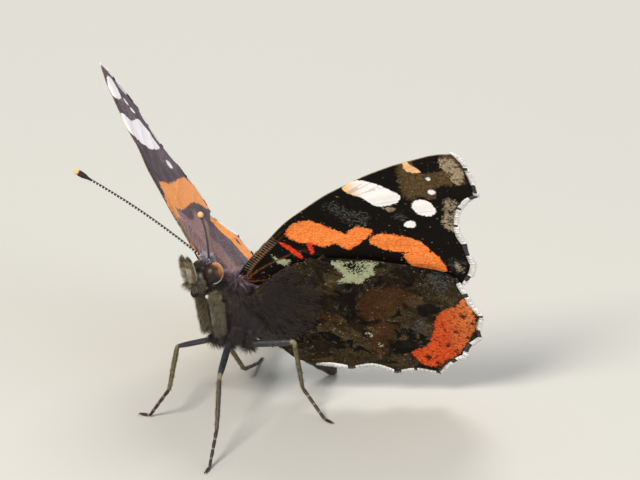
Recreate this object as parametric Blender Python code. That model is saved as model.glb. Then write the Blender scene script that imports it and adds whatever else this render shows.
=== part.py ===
# Red admiral butterfly, life size, standing with its wings half raised.
# The script works in millimetres and turns them into metres where each object is made.
# Body axes: x to the insect's left, y to its tail, z up, from the middle of the thorax.
# Wing axes: x away from the body, y to the tail, z out of the wing's upper side, from the wing root.
# The right side mirrors the left in x.

import math

import bmesh
import bpy
import numpy as np
from mathutils import Euler, Matrix, Vector
from mathutils.geometry import delaunay_2d_cdt

MM = 0.001
GAP = 0.3  # left between two pieces that meet

# The stance: nose up, the left side a little higher, thorax centre above the ground
PITCH = math.radians(37.9)
ROLL = math.radians(5.8)
BODY_HEIGHT = 11.8

# The wings: where they are hinged and how they are turned from lying flat out to the side
WING_ROOT = Vector((2.3, 0.0, 1.7))
WING_TURN = tuple(math.radians(a) for a in (-31.4, -19.6, 31.7))
RIGHT_WING_LIFT = math.radians(3.0)
MEMBRANE = 0.5
ROOT_THICKNESS = 0.8
ROOT_FADE = 3.0
RIDGE_HEIGHT = 0.16
RIDGE_HALF_WIDTH = 0.34
RIDGE_FADE = 26.0
VEIN_STEP = 1.7
MARGIN_STEP = 0.75
MEMBRANE_STEP = 3.2
HINDWING_DROP = MEMBRANE + GAP + 0.06  # from the forewing's middle surface down to the hindwing's
WING_DROOP = 0.8  # how far the forewing tip bends down
RIGHT_HINDWING_RISE = 1.3  # how far the right hindwing's rear part bends up towards the other wing
RISE_START, RISE_LENGTH = 1.5, 7.5  # where that bend begins, forward of the root, and how long it is
HINDWING_LENGTH = 23.0
FOREWING_LENGTH = 31.0

# Wing plans, as distance out and distance forward from the root
FOREWING_SOCKET = (0.4, 0.3, 1.9)  # root edge: how far out, and its two ends
HINDWING_SOCKET = (1.1, -2.5, -0.7)
FOREWING_COSTA = ((1.3, 3.3), (3.1, 5.2), (7.1, 9.4), (13.3, 13.8), (18.5, 16.45), (22.7, 17.9))
HINDWING_COSTA = ((3.6, 1.8), (7.6, 3.9), (12.1, 4.1), (16.5, 3.4), (20.2, 2.5))
# Vein ends along the outer margin, each with the depth of the hollow up to the next end
FOREWING_MARGIN = (
    ((24.8, 18.2), -0.35),
    ((25.9, 16.1), -0.1),
    ((26.2, 12.3), 0.25),
    ((24.2, 10.6), 0.2),
    ((23.3, 8.1), 0.2),
    ((23.7, 5.5), 0.15),
    ((23.9, 2.8), -0.3),
    ((22.2, 0.1), 0.0),
)
HINDWING_MARGIN = (
    ((21.9, 1.3), 0.15),
    ((22.5, -0.9), 0.2),
    ((23.4, -4.0), 0.25),
    ((22.7, -6.9), 0.3),
    ((20.6, -9.6), 0.3),
    ((17.7, -11.9), 0.45),
    ((13.3, -11.8), 0.75),
    ((8.8, -11.2), 0.1),
    ((5.0, -10.4), 0.0),
)
FOREWING_INNER = ((14.0, 0.35), (5.0, 0.0))
HINDWING_INNER = ((3.4, -9.6), (2.3, -7.8), (1.7, -5.0))

# Veins, each as its start, a point midway and its end, in the same plan
FOREWING_VEINS = (
    ((0.9, 1.5), (4.8, 6.0), (10.0, 10.4)),
    ((0.9, 1.1), (5.0, 3.9), (11.0, 6.3)),
    ((10.0, 10.4), (10.4, 8.6), (11.0, 6.3)),
    ((2.2, 4.0), (7.0, 8.7), (11.7, 12.3)),
    ((7.6, 8.4), (11.4, 11.5), (15.2, 14.1)),
    ((10.0, 10.4), (14.6, 13.3), (18.9, 16.0)),
    ((12.6, 12.1), (17.6, 15.0), (22.5, 17.3)),
    ((15.1, 12.9), (19.8, 15.5), (24.3, 17.5)),
    ((10.0, 10.4), (17.4, 13.7), (25.2, 15.7)),
    ((10.2, 9.7), (18.0, 11.7), (25.6, 12.2)),
    ((10.6, 8.3), (17.4, 9.7), (23.8, 10.6)),
    ((11.0, 6.3), (17.2, 7.6), (22.9, 8.1)),
    ((9.9, 5.9), (16.8, 5.6), (23.3, 5.5)),
    ((7.0, 4.9), (15.0, 3.3), (23.5, 2.8)),
    ((0.9, 0.8), (11.0, 1.1), (21.8, 0.5)),
)
HINDWING_VEINS = (
    ((1.6, -1.0), (4.8, 0.6), (9.0, 0.3)),
    ((1.6, -1.5), (5.4, -2.6), (10.3, -3.7)),
    ((9.0, 0.3), (9.9, -1.4), (10.3, -3.7)),
    ((2.6, 0.0), (9.4, 3.0), (19.6, 1.9)),
    ((4.8, 0.6), (12.6, 1.6), (21.4, 0.6)),
    ((9.0, 0.3), (15.6, 0.1), (22.1, -1.0)),
    ((9.5, -0.8), (16.4, -2.0), (22.9, -4.0)),
    ((10.0, -2.2), (16.4, -4.3), (22.3, -6.7)),
    ((10.3, -3.7), (15.6, -6.4), (20.3, -9.3)),
    ((9.4, -3.6), (13.8, -7.4), (17.5, -11.4)),
    ((6.6, -2.9), (10.2, -7.1), (13.2, -11.3)),
    ((1.7, -1.9), (5.2, -6.0), (8.8, -10.7)),
    ((1.6, -2.2), (2.9, -5.8), (5.0, -9.9)),
)

# Body sections: place along y, height of the middle, half width, half height
THORAX_SECTIONS = (
    (-1.75, 1.45, 0.75, 0.7),
    (-1.3, 1.4, 1.35, 1.15),
    (-0.5, 1.1, 1.95, 1.65),
    (0.5, 0.5, 2.35, 2.3),
    (1.7, -0.05, 2.45, 2.9),
    (3.0, -0.4, 2.3, 3.0),
    (4.2, -0.45, 1.9, 2.5),
    (5.0, -0.1, 1.5, 1.75),
    (5.3, 0.0, 1.25, 1.4),
)
ABDOMEN_LENGTH = 11.0
ABDOMEN_START = (1.25, 1.4)
ABDOMEN_WIDEST = 1.75
ABDOMEN_TIP_RADIUS = 0.45
TIP_SHARE = 0.72  # the height of the tip's middle above the ground, as a share of its radius
ABDOMEN_SEGMENTS = 8
SEGMENT_STEP = 0.09
BODY_SIDES = 20

# The shoulders: rounded pads that run from inside the thorax to each wing root
SHOULDER_START = Vector((0.9, 0.5, 1.5))
SHOULDER_HALF = Vector((0.0, 0.75, 0.75))
SHOULDER_STEP = Vector((0.13, 0.07, 0.61))  # how far the start moves for each millimetre of wing drop
SHOULDER_STEPS = (0.0, 0.45, 0.8, 1.0)
SHOULDER_SIDES = 12

# The head
HEAD_CENTRE = Vector((0.0, -2.95, 1.75))
HEAD_HALF = Vector((1.2, 1.05, 1.28))
HEAD_FLAT = 0.4  # half width of the head between the eyes
EYE_CENTRE = Vector((0.92, -2.75, 1.8))
EYE_HALF = Vector((1.0, 1.02, 1.08))
PALP_PATH = ((0.5, -4.0, 0.22), (0.52, -4.5, 0.75), (0.52, -5.05, 1.3), (0.5, -5.55, 1.8), (0.48, -6.0, 2.2))
PALP_RADII = (0.36, 0.42, 0.42, 0.36, 0.22)
PALP_FLATNESS = 1.3  # how much deeper than wide a palp is
PALP_BASE = ((0.2, -3.05, 0.8), (0.5, -3.7, 0.2))
PALP_BASE_RADIUS = 0.24
PALP_FACE = Vector((0.0, -1.0, 0.0))  # the palp and its base on the head meet in this direction
COIL_CENTRE = Vector((0.0, -3.15, -0.5))
COIL_RADIUS = 0.5
COIL_HALF_WIDTHS = (-0.25, -0.15, 0.15, 0.25)
COIL_ROUNDING = 0.7  # the coil's radius at its two sides

# Antennae: foot on the head, run to the tip, and how far the middle bows up
ANTENNA_FOOT = Vector((0.45, -3.4, 3.05))
ANTENNA_RISE = Vector((0.0, -0.5, 0.87))  # the way the foot stands on the head
FOOT_DEPTH = 0.8
FOOT_RADII = (0.36, 0.32)
ANTENNA_RUNS = {"left": Vector((8.9, -9.9, 2.3)), "right": Vector((-8.3, -11.7, 3.2))}
ANTENNA_BOW = 0.35
SHAFT_RADIUS = 0.25
CLUB_RADIUS = 0.36
CLUB_LENGTH = 1.7
CLUB_PROFILE = ((0.25, 0.31), (0.6, CLUB_RADIUS), (0.85, 0.3), (1.0, 0.14))

# Forelegs: small brush feet folded against the chest
FORELEG_COXA = ((0.93, -0.3, 0.55), (1.15, -1.42, -0.03))
FORELEG_PATH = (
    (1.16, -1.42, -0.35),
    (1.2, -0.8, -1.1),
    (1.15, -0.15, -2.0),
    (1.12, 0.4, -2.65),
    (1.1, 0.8, -3.05),
)
FORELEG_RADII = (0.38, 0.44, 0.42, 0.34, 0.2)

# Walking legs in body axes: hip inside the thorax, hip joint, knee and ankle.
# The foot is a place on the ground, from the point under the thorax centre.
LEGS = {
    "mid_left": (
        (1.1, 2.1, -2.0), (1.4, 1.85, -3.45), (4.87, -0.46, -7.51),
        (7.09, -0.21, -12.4), (10.9, -10.7),
    ),
    "mid_right": (
        (-1.1, 2.3, -2.0), (-1.3, 2.2, -3.6), (-6.19, 2.08, -5.29),
        (-3.55, 0.99, -9.73), (-6.0, -6.8),
    ),
    "hind_left": (
        (1.2, 3.4, -1.6), (1.8, 3.8, -3.05), (6.29, 5.46, -1.45),
        (5.37, 9.27, -5.06), (10.2, 4.6),
    ),
    "hind_right": (
        (-1.2, 3.4, -1.6), (-1.8, 3.8, -3.05), (-6.0, 5.6, -2.0),
        (-5.5, 10.4, -4.6), (-8.4, 9.4),
    ),
}
COXA_RADIUS = 0.5
FEMUR_RADII = (0.36, 0.42, 0.36, 0.27)
TIBIA_RADII = (0.27, 0.25, 0.25, 0.26)
TARSUS_RADIUS = 0.26
FOOT_LENGTH = 1.1
LEG_SIDES = 8
PAD_DEPTH = 0.08  # how far the foot's round underside is flattened

COLOURS = {
    "wing scales": ((0.07, 0.045, 0.03), 0.7),
    "body hair": ((0.16, 0.12, 0.09), 0.85),
    "leg cuticle": ((0.2, 0.14, 0.09), 0.55),
    "antenna scales": ((0.05, 0.04, 0.035), 0.6),
    "eye": ((0.06, 0.03, 0.02), 0.15),
}


def material(name):
    found = bpy.data.materials.get(name)
    if found:
        return found
    made = bpy.data.materials.new(name)
    made.use_nodes = True
    colour, roughness = COLOURS[name]
    shader = made.node_tree.nodes["Principled BSDF"]
    shader.inputs["Base Color"].default_value = (*colour, 1.0)
    shader.inputs["Roughness"].default_value = roughness
    return made


def mesh_object(name, points, faces):
    """An object in millimetres, closed, with its faces turned outwards."""
    mesh = bpy.data.meshes.new(name)
    mesh.from_pydata([tuple(p) for p in points], [], faces)
    shape = bmesh.new()
    shape.from_mesh(mesh)
    bmesh.ops.triangulate(shape, faces=shape.faces[:])
    bmesh.ops.recalc_face_normals(shape, faces=shape.faces[:])
    shape.to_mesh(mesh)
    shape.free()
    made = bpy.data.objects.new(name, mesh)
    bpy.context.scene.collection.objects.link(made)
    return made


def keep_largest(mesh):
    """Leaves only the biggest closed surface of the mesh."""
    shape = bmesh.new()
    shape.from_mesh(mesh)
    left = set(shape.faces)
    groups = []
    while left:
        group = set()
        front = [left.pop()]
        while front:
            face = front.pop()
            group.add(face)
            near = {other for edge in face.edges for other in edge.link_faces} & left
            left -= near
            front.extend(near)
        groups.append(group)
    biggest = max(groups, key=lambda group: sum(face.calc_area() for face in group))
    spare = [face for group in groups if group is not biggest for face in group]
    bmesh.ops.delete(shape, geom=spare, context="FACES")
    shape.to_mesh(mesh)
    shape.free()


def fuse(main, pieces):
    """Joins the closed pieces to the main object by one Boolean union."""
    group = bpy.data.collections.new(main.name + " pieces")
    bpy.context.scene.collection.children.link(group)
    for piece in pieces:
        bpy.context.scene.collection.objects.unlink(piece)
        group.objects.link(piece)
    union = main.modifiers.new("union", "BOOLEAN")
    union.operation = "UNION"
    union.operand_type = "COLLECTION"
    union.collection = group
    union.solver = "EXACT"
    apply_modifiers(main)
    for piece in pieces:
        bpy.data.objects.remove(piece)
    bpy.data.collections.remove(group)
    keep_largest(main.data)
    return main


def apply_modifiers(thing):
    bpy.context.view_layer.update()
    graph = bpy.context.evaluated_depsgraph_get()
    result = bpy.data.meshes.new_from_object(thing.evaluated_get(graph))
    thing.modifiers.clear()
    thing.data = result


def finish_node(thing, finish, parent, mirrored=False, location=None, turn=None):
    """Gives a millimetre object its size in metres, its place and its material."""
    size = Matrix.Diagonal((-MM if mirrored else MM, MM, MM, 1.0))
    thing.data.transform(size)
    if mirrored:
        thing.data.flip_normals()
    thing.data.materials.clear()
    thing.data.materials.append(material(finish))
    thing.data.shade_smooth()
    thing.data.set_sharp_from_angle(angle=math.radians(40))
    thing.parent = parent
    if location is not None:
        thing.location = Vector(location) * MM
    if turn is not None:
        thing.rotation_euler = turn
    return thing


def loft(name, rings):
    """A closed skin over rings of equally many points."""
    sides = len(rings[0])
    points = [point for ring in rings for point in ring]
    faces = [list(range(sides))]
    for r in range(len(rings) - 1):
        for s in range(sides):
            t = (s + 1) % sides
            faces.append([r * sides + s, r * sides + t, (r + 1) * sides + t, (r + 1) * sides + s])
    last = (len(rings) - 1) * sides
    faces.append([last + s for s in range(sides)])
    return mesh_object(name, points, faces)


def ring_axes(normal, before):
    """Two directions across a limb, the first one turned the same way as on the ring before."""
    across = normal.cross(Vector((0.0, 0.0, 1.0)))
    if across.length < 0.05:
        across = normal.cross(Vector((0.0, 1.0, 0.0)))
    if before is not None and across.dot(before) < 0.0:
        across.negate()
    across.normalize()
    return across, across.cross(normal).normalized()


def circle(centre, across, rise, radius, sides, flatness):
    turns = [2.0 * math.pi * (s + 0.5) / sides for s in range(sides)]
    return [centre + radius * (math.cos(a) * across + math.sin(a) * flatness * rise) for a in turns]


def tube(name, path, radii, sides, start_face=None, end_face=None, flatness=1.0):
    """A round limb along a path. Its end faces may be turned to meet a neighbour's."""
    path = [Vector(p) for p in path]
    rings = []
    across = None
    for i, centre in enumerate(path):
        before = (centre - path[i - 1]).normalized() if i else None
        after = (path[i + 1] - centre).normalized() if i + 1 < len(path) else None
        normal = (before or after) + (after or before)
        if i == 0 and start_face is not None:
            normal = start_face
        if i + 1 == len(path) and end_face is not None:
            normal = end_face
        across, rise = ring_axes(normal.normalized(), across)
        rings.append(circle(centre, across, rise, radii[i], sides, flatness))
    return loft(name, rings)


def ellipsoid(name, centre, half, rings=9, sides=16):
    """A rounded solid with its poles on the x axis."""
    made = []
    for r in range(1, rings):
        angle = math.pi * r / rings
        made.append([
            Vector((
                centre.x - half.x * math.cos(angle),
                centre.y + half.y * math.sin(angle) * math.cos(2.0 * math.pi * s / sides),
                centre.z + half.z * math.sin(angle) * math.sin(2.0 * math.pi * s / sides),
            ))
            for s in range(sides)
        ])
    return loft(name, made)


def bow(start, middle, end, count):
    """Points along the parabola through three plan points."""
    start, middle, end = (np.array(p, float) for p in (start, middle, end))
    control = 2.0 * middle - (start + end) / 2.0
    t = np.linspace(0.0, 1.0, count)[:, None]
    return (1 - t) ** 2 * start + 2 * t * (1 - t) * control + t**2 * end


def spline(points, step):
    """A smooth line through plan points, sampled about every step."""
    points = [np.array(p, float) for p in points]
    ends = [2 * points[0] - points[1], *points, 2 * points[-1] - points[-2]]
    line = [points[0]]
    for a, b, c, d in zip(ends, ends[1:], ends[2:], ends[3:]):
        count = max(1, round(np.linalg.norm(c - b) / step))
        for k in range(1, count + 1):
            t = k / count
            line.append(0.5 * (2 * b + (c - a) * t + (2 * a - 5 * b + 4 * c - d) * t**2
                               + (3 * b - a - 3 * c + d) * t**3))
    return line


def scallops(margin, step):
    """The outer margin: arches between the vein ends, sunk or bulging by the stated depths."""
    line = []
    for (start, depth), (end, _) in zip(margin, margin[1:]):
        start, end = np.array(start, float), np.array(end, float)
        run = end - start
        length = np.linalg.norm(run)
        inward = np.array([run[1], -run[0]]) / length
        count = max(2, round(length / step))
        for k in range(count):
            t = k / count
            line.append(start + run * t + inward * depth * math.sin(math.pi * t))
    line.append(np.array(margin[-1][0], float))
    return line


def forewing_outline():
    out, rear, front = FOREWING_SOCKET
    start = [(out, rear), (out, front)]
    costa = spline([(out, front), *FOREWING_COSTA, FOREWING_MARGIN[0][0]], MARGIN_STEP * 2)
    margin = scallops(FOREWING_MARGIN, MARGIN_STEP)
    inner = spline([FOREWING_MARGIN[-1][0], *FOREWING_INNER, start[0]], MARGIN_STEP * 2.5)
    return [np.array(start[0], float), *costa[:-1], *margin, *inner[1:-1]]


def hindwing_outline():
    out, rear, front = HINDWING_SOCKET
    costa = spline([(out, front), *HINDWING_COSTA, HINDWING_MARGIN[0][0]], MARGIN_STEP * 2)
    margin = scallops(HINDWING_MARGIN, MARGIN_STEP)
    inner = spline([HINDWING_MARGIN[-1][0], *HINDWING_INNER, (out, rear)], MARGIN_STEP * 1.5)
    return [np.array((out, rear), float), *costa[:-1], *margin, *inner[1:-1]]


def inside(point, outline):
    x, y = point
    ends = np.roll(outline, -1, axis=0)
    crosses = (outline[:, 1] > y) != (ends[:, 1] > y)
    rise = np.where(ends[:, 1] == outline[:, 1], 1e-9, ends[:, 1] - outline[:, 1])
    at = outline[:, 0] + (y - outline[:, 1]) / rise * (ends[:, 0] - outline[:, 0])
    return bool(np.count_nonzero(crosses & (x < at)) % 2)


def distance_to_line(point, line):
    a, b = line[:-1], line[1:]
    run = b - a
    along = ((point - a) * run).sum(axis=1) / (run**2).sum(axis=1)
    nearest = a + run * np.clip(along, 0.0, 1.0)[:, None]
    return float(np.sqrt(((point - nearest) ** 2).sum(axis=1)).min())


def wing_plan(outline, veins):
    """Plan points, vein edges and the outline as one face, ready to be triangulated."""
    outline = np.array(outline)
    rim = np.vstack([outline, outline[:1]])
    lines = []
    for start, middle, end in veins:
        length = math.dist(start, middle) + math.dist(middle, end)
        lines.append(bow(start, middle, end, max(3, round(length / VEIN_STEP) + 1)))
    points = [tuple(p) for p in outline]
    edges = []
    for line in lines:
        first = len(points)
        points.extend(tuple(p) for p in line)
        edges.extend((k, k + 1) for k in range(first, len(points) - 1))
    flanks = []
    for line in lines:
        run = np.gradient(line, axis=0)
        side = np.stack([run[:, 1], -run[:, 0]], axis=1) / np.linalg.norm(run, axis=1)[:, None]
        for way in (-1.0, 1.0):
            flanks.extend(line + way * RIDGE_HALF_WIDTH * side)
    kept = []
    for point in flanks:
        clear = all(distance_to_line(point, line) > 0.85 * RIDGE_HALF_WIDTH for line in lines)
        apart = all(np.hypot(*(point - other)) > 0.7 * RIDGE_HALF_WIDTH for other in kept)
        if clear and apart and inside(point, outline) and distance_to_line(point, rim) > 0.3:
            kept.append(point)
    low, high = outline.min(axis=0), outline.max(axis=0)
    for row, y in enumerate(np.arange(low[1], high[1], MEMBRANE_STEP * 0.87)):
        for x in np.arange(low[0] + (row % 2) * MEMBRANE_STEP / 2, high[0], MEMBRANE_STEP):
            point = np.array([x, y])
            if not inside(point, outline) or distance_to_line(point, rim) < 0.8:
                continue
            if min(distance_to_line(point, line) for line in lines) > 0.9:
                kept.append(point)
    points.extend(tuple(p) for p in kept)
    return [Vector(p) for p in points], edges, list(range(len(outline))), lines


def rear_rise(place, rise):
    """How far a wing's rear part bends up at a plan point."""
    t = min(1.0, max(0.0, (RISE_START - place[1]) / RISE_LENGTH))
    return rise * t * t * (3.0 - 2.0 * t) * place[0] / HINDWING_LENGTH


def wing_solid(name, outline, veins, drop, neighbour, rise):
    """A membrane of even thickness that carries its veins as ridges on both faces.

    Where the neighbour wing lies against it, the face towards that wing stays plain.
    """
    points, edges, face, lines = wing_plan(outline, veins)
    flat, _, triangles, _, _, _ = delaunay_2d_cdt(points, edges, [face], 0, 1e-5, True)
    plan = np.array(outline)
    beside = np.array(neighbour)
    centres = [sum((np.array(flat[v]) for v in t), np.zeros(2)) / 3 for t in triangles]
    triangles = [t for t, centre in zip(triangles, centres) if inside(centre, plan)]
    faces_down = drop == 0.0
    upper, lower = [], []
    for point in flat:
        place = np.array(point)
        reach = float(np.hypot(*place))
        near = min(distance_to_line(place, line) for line in lines)
        ridge = RIDGE_HEIGHT * max(0.0, 1.0 - near / RIDGE_HALF_WIDTH)
        ridge *= max(0.35, 1.0 - 0.65 * reach / RIDGE_FADE)
        thick = MEMBRANE + (ROOT_THICKNESS - MEMBRANE) * max(0.0, 1.0 - reach / ROOT_FADE)
        middle = rear_rise(place, rise) - drop - WING_DROOP * (reach / FOREWING_LENGTH) ** 2
        covered = inside(place, beside)
        over = 0.0 if covered and not faces_down else ridge
        under = 0.0 if covered and faces_down else ridge
        upper.append((place[0], -place[1], middle + thick / 2 + over))
        lower.append((place[0], -place[1], middle - thick / 2 - under))
    count = len(flat)
    faces = [list(t) for t in triangles]
    uses = {}
    for t in triangles:
        for a, b in zip(t, (*t[1:], t[0])):
            uses.setdefault(frozenset((a, b)), []).append((a, b))
    faces += [[v + count for v in reversed(t)] for t in triangles]
    for found in uses.values():
        if len(found) == 1:
            a, b = found[0]
            faces.append([b, a, a + count])
            faces.append([b, a + count, b + count])
    return mesh_object(name, upper + lower, faces)


def wing_socket(name, socket, drop, mirrored):
    """The rounded shoulder on the thorax that a wing root faces."""
    out, rear, front = socket
    place, turn = wing_matrix(mirrored)
    side = -1.0 if mirrored else 1.0
    rotation = Euler(turn).to_matrix()
    middle = Vector(((out - GAP) * side, -(rear + front) / 2, -drop))
    run = Vector((0.0, (front - rear) / 2, 0.0))
    rise = Vector((0.0, 0.0, ROOT_THICKNESS / 2))
    outer = (place + rotation @ middle, rotation @ run, rotation @ rise)
    start = SHOULDER_START - SHOULDER_STEP * drop
    inner = (Vector((start.x * side, start.y + outer[0].y / 2, start.z)),
             Vector((0.0, SHOULDER_HALF.y, 0.0)), Vector((0.0, 0.0, SHOULDER_HALF.z)))
    rings = []
    for share in SHOULDER_STEPS:
        centre, across, up = (a.lerp(b, share) for a, b in zip(inner, outer))
        angles = [2.0 * math.pi * s / SHOULDER_SIDES for s in range(SHOULDER_SIDES)]
        rings.append([centre + squared(math.cos(a)) * across + squared(math.sin(a)) * up for a in angles])
    return loft(name, rings)


def squared(value):
    """Fills out a circle's sine or cosine towards a rounded box."""
    return math.copysign(abs(value) ** 0.6, value)


def wing_matrix(mirrored):
    turn = [WING_TURN[0], WING_TURN[1], WING_TURN[2]]
    place = WING_ROOT.copy()
    if mirrored:
        turn[1] = -(turn[1] - RIGHT_WING_LIFT)
        turn[2] = -turn[2]
        place.x = -place.x
    return place, turn


def make_wings(frame):
    fore, hind = forewing_outline(), hindwing_outline()
    plans = (
        ("forewing", fore, FOREWING_VEINS, 0.0, hind),
        ("hindwing", hind, HINDWING_VEINS, HINDWING_DROP, fore),
    )
    for label, outline, veins, drop, neighbour in plans:
        for side, mirrored in (("left", False), ("right", True)):
            rise = RIGHT_HINDWING_RISE if mirrored and label == "hindwing" else 0.0
            wing = wing_solid(f"{label}_{side}", outline, veins, drop, neighbour, rise)
            place, turn = wing_matrix(mirrored)
            finish_node(wing, "wing scales", frame, mirrored, place, turn)


def body_ring(y, z, width, height):
    angles = [2.0 * math.pi * s / BODY_SIDES for s in range(BODY_SIDES)]
    return [Vector((width * math.cos(a), y, z + height * math.sin(a))) for a in angles]


def make_thorax(frame):
    thorax = loft("thorax", [body_ring(*section) for section in THORAX_SECTIONS])
    pieces = []
    for mirrored in (False, True):
        for label, socket, drop in (("fore", FOREWING_SOCKET, 0.0), ("hind", HINDWING_SOCKET, HINDWING_DROP)):
            pieces.append(wing_socket(f"{label} shoulder", socket, drop, mirrored))
        side = -1.0 if mirrored else 1.0
        coxa = [mirrored_point(Vector(p), side) for p in FORELEG_COXA]
        face = mirrored_point(foreleg_face(), side)
        pieces.append(tube("foreleg coxa", coxa, (COXA_RADIUS, FORELEG_RADII[0]), LEG_SIDES, end_face=face))
    for name, (inner, hip, knee, _, _) in LEGS.items():
        joint = joint_plane(inner, hip, knee)
        near = step_back(inner, hip, joint)
        pieces.append(tube(name + " coxa", (inner, near), (COXA_RADIUS, FEMUR_RADII[0]), LEG_SIDES,
                           end_face=joint))
    fuse(thorax, pieces)
    finish_node(thorax, "body hair", frame)


def foreleg_face():
    """The direction in which a foreleg and its coxa meet."""
    return (Vector(FORELEG_PATH[0]) - Vector(FORELEG_COXA[1])).normalized()


def joint_plane(before, joint, after):
    """The direction that two limbs' end faces share where they meet."""
    before, joint, after = Vector(before), Vector(joint), Vector(after)
    return ((joint - before).normalized() + (after - joint).normalized()).normalized()


def step_back(start, joint, plane):
    """The middle of a limb's end face, half the gap short of the joint."""
    start, joint = Vector(start), Vector(joint)
    run = (joint - start).normalized()
    return joint - run * (GAP / 2) / max(0.3, run.dot(plane))


def ground_to_body(point):
    turn = stance()
    return turn.transposed() @ (Vector(point) - Vector((0.0, 0.0, BODY_HEIGHT)))


def body_to_ground(point):
    return stance() @ Vector(point) + Vector((0.0, 0.0, BODY_HEIGHT))


def stance():
    return Matrix.Rotation(-PITCH, 3, "X") @ Matrix.Rotation(-ROLL, 3, "Y")


def flatten_on_ground(thing):
    """Moves what reaches below the ground up to it, which leaves a small flat."""
    for vertex in thing.data.vertices:
        place = body_to_ground(vertex.co)
        if place.z < 0.0:
            place.z = 0.0
            vertex.co = ground_to_body(place)


def make_legs(frame):
    for name, (inner, hip, knee, ankle, foot) in LEGS.items():
        hip_face = joint_plane(inner, hip, knee)
        knee_face = joint_plane(hip, knee, ankle)
        rise = TARSUS_RADIUS - PAD_DEPTH
        tip_ground = Vector((foot[0], foot[1], rise))
        ankle_ground = body_to_ground(ankle)
        lead = tip_ground - ankle_ground
        lead.z = 0.0
        heel_ground = tip_ground - lead.normalized() * FOOT_LENGTH
        heel, tip = ground_to_body(heel_ground), ground_to_body(tip_ground)
        ankle_face = joint_plane(knee, ankle, heel)
        femur_ends = (step_back(knee, hip, -hip_face), step_back(hip, knee, knee_face))
        tibia_ends = (step_back(ankle, knee, -knee_face), step_back(knee, ankle, ankle_face))
        tarsus_start = step_back(heel, ankle, -ankle_face)
        femur = tube("femur_" + name, along(femur_ends, 4), FEMUR_RADII, LEG_SIDES, hip_face, knee_face)
        tibia = tube("tibia_" + name, along(tibia_ends, 4), TIBIA_RADII, LEG_SIDES, knee_face, ankle_face)
        path = [*along((tarsus_start, heel), 3), tip]
        radii = (TARSUS_RADIUS, TARSUS_RADIUS, TARSUS_RADIUS, TARSUS_RADIUS * 0.85)
        tarsus = tube("tarsus_" + name, path, radii, LEG_SIDES, start_face=ankle_face)
        flatten_on_ground(tarsus)
        for piece in (femur, tibia, tarsus):
            finish_node(piece, "leg cuticle", frame)
    for side, mirrored in (("left", False), ("right", True)):
        foreleg = tube("foreleg_" + side, FORELEG_PATH, FORELEG_RADII, LEG_SIDES, start_face=foreleg_face())
        finish_node(foreleg, "body hair", frame, mirrored)


def along(ends, count):
    start, end = ends
    return [start.lerp(end, k / (count - 1)) for k in range(count)]


def make_abdomen(frame):
    """A tapering row of rings that curves down until its tip rests on the ground."""
    start = Vector((0.0, THORAX_SECTIONS[-1][0] + GAP, THORAX_SECTIONS[-1][1]))
    tip = abdomen_tip(start)
    rings = [body_ring(start.y, start.z, *ABDOMEN_START)]
    steps = ABDOMEN_SEGMENTS * 2
    for k in range(1, steps + 1):
        t = k / steps
        middle = abdomen_middle(start, tip, t)
        radius = abdomen_radius(t)
        if k % 2:
            radius += SEGMENT_STEP
        rings.append(body_ring(middle.y, middle.z, radius, radius))
    abdomen = loft("abdomen", rings)
    flatten_on_ground(abdomen)
    finish_node(abdomen, "body hair", frame)


def abdomen_radius(t):
    swell = math.sin(math.pi * min(1.0, (t + 0.32) / 1.34)) ** 0.8
    return ABDOMEN_TIP_RADIUS + (ABDOMEN_WIDEST - ABDOMEN_TIP_RADIUS) * swell


def abdomen_middle(start, tip, t):
    sink = t**2.4
    return Vector((0.0, start.y + (tip.y - start.y) * t, start.z + (tip.z - start.z) * sink))


def abdomen_tip(start):
    """The end of the abdomen's middle line, as high as its radius above the ground."""
    reach = start.y + ABDOMEN_LENGTH
    turn = stance()
    wanted = ABDOMEN_TIP_RADIUS * TIP_SHARE
    z = (wanted - BODY_HEIGHT - turn[2][1] * reach) / turn[2][2]
    return Vector((0.0, reach, z))


def make_head(frame):
    head = ellipsoid("head", HEAD_CENTRE, HEAD_HALF, rings=12, sides=20)
    neck_face = THORAX_SECTIONS[0][0] - GAP
    cut_plane(head, (0.0, neck_face, 0.0), (0.0, 1.0, 0.0))
    for side in (1.0, -1.0):
        cut_plane(head, (HEAD_FLAT * side, 0.0, 0.0), (side, 0.0, 0.0))
    pieces = []
    for side, run in ((1.0, ANTENNA_RUNS["left"]), (-1.0, ANTENNA_RUNS["right"])):
        foot = mirrored_point(ANTENNA_FOOT, side)
        pieces.append(tube("antenna foot", (foot - ANTENNA_RISE * FOOT_DEPTH, foot), FOOT_RADII, LEG_SIDES,
                           end_face=(ANTENNA_RISE + run.normalized()).normalized()))
        base = [mirrored_point(Vector(p), side) for p in PALP_BASE]
        radii = (PALP_BASE_RADIUS, PALP_RADII[0])
        pieces.append(tube("palp base", base, radii, LEG_SIDES, end_face=PALP_FACE))
    fuse(head, pieces)
    finish_node(head, "body hair", frame)
    for name, mirrored in (("left", False), ("right", True)):
        eye = ellipsoid("eye_" + name, EYE_CENTRE, EYE_HALF, rings=12, sides=18)
        cut_plane(eye, (HEAD_FLAT + GAP, 0.0, 0.0), (-1.0, 0.0, 0.0))
        finish_node(eye, "eye", frame, mirrored)
        make_palp(name, mirrored, frame)
        make_antenna(name, -1.0 if mirrored else 1.0, frame)
    coil = tube("proboscis", [COIL_CENTRE + Vector((x, 0.0, 0.0)) for x in COIL_HALF_WIDTHS],
                (COIL_RADIUS * COIL_ROUNDING, COIL_RADIUS, COIL_RADIUS, COIL_RADIUS * COIL_ROUNDING), 16)
    finish_node(coil, "leg cuticle", frame)


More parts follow.
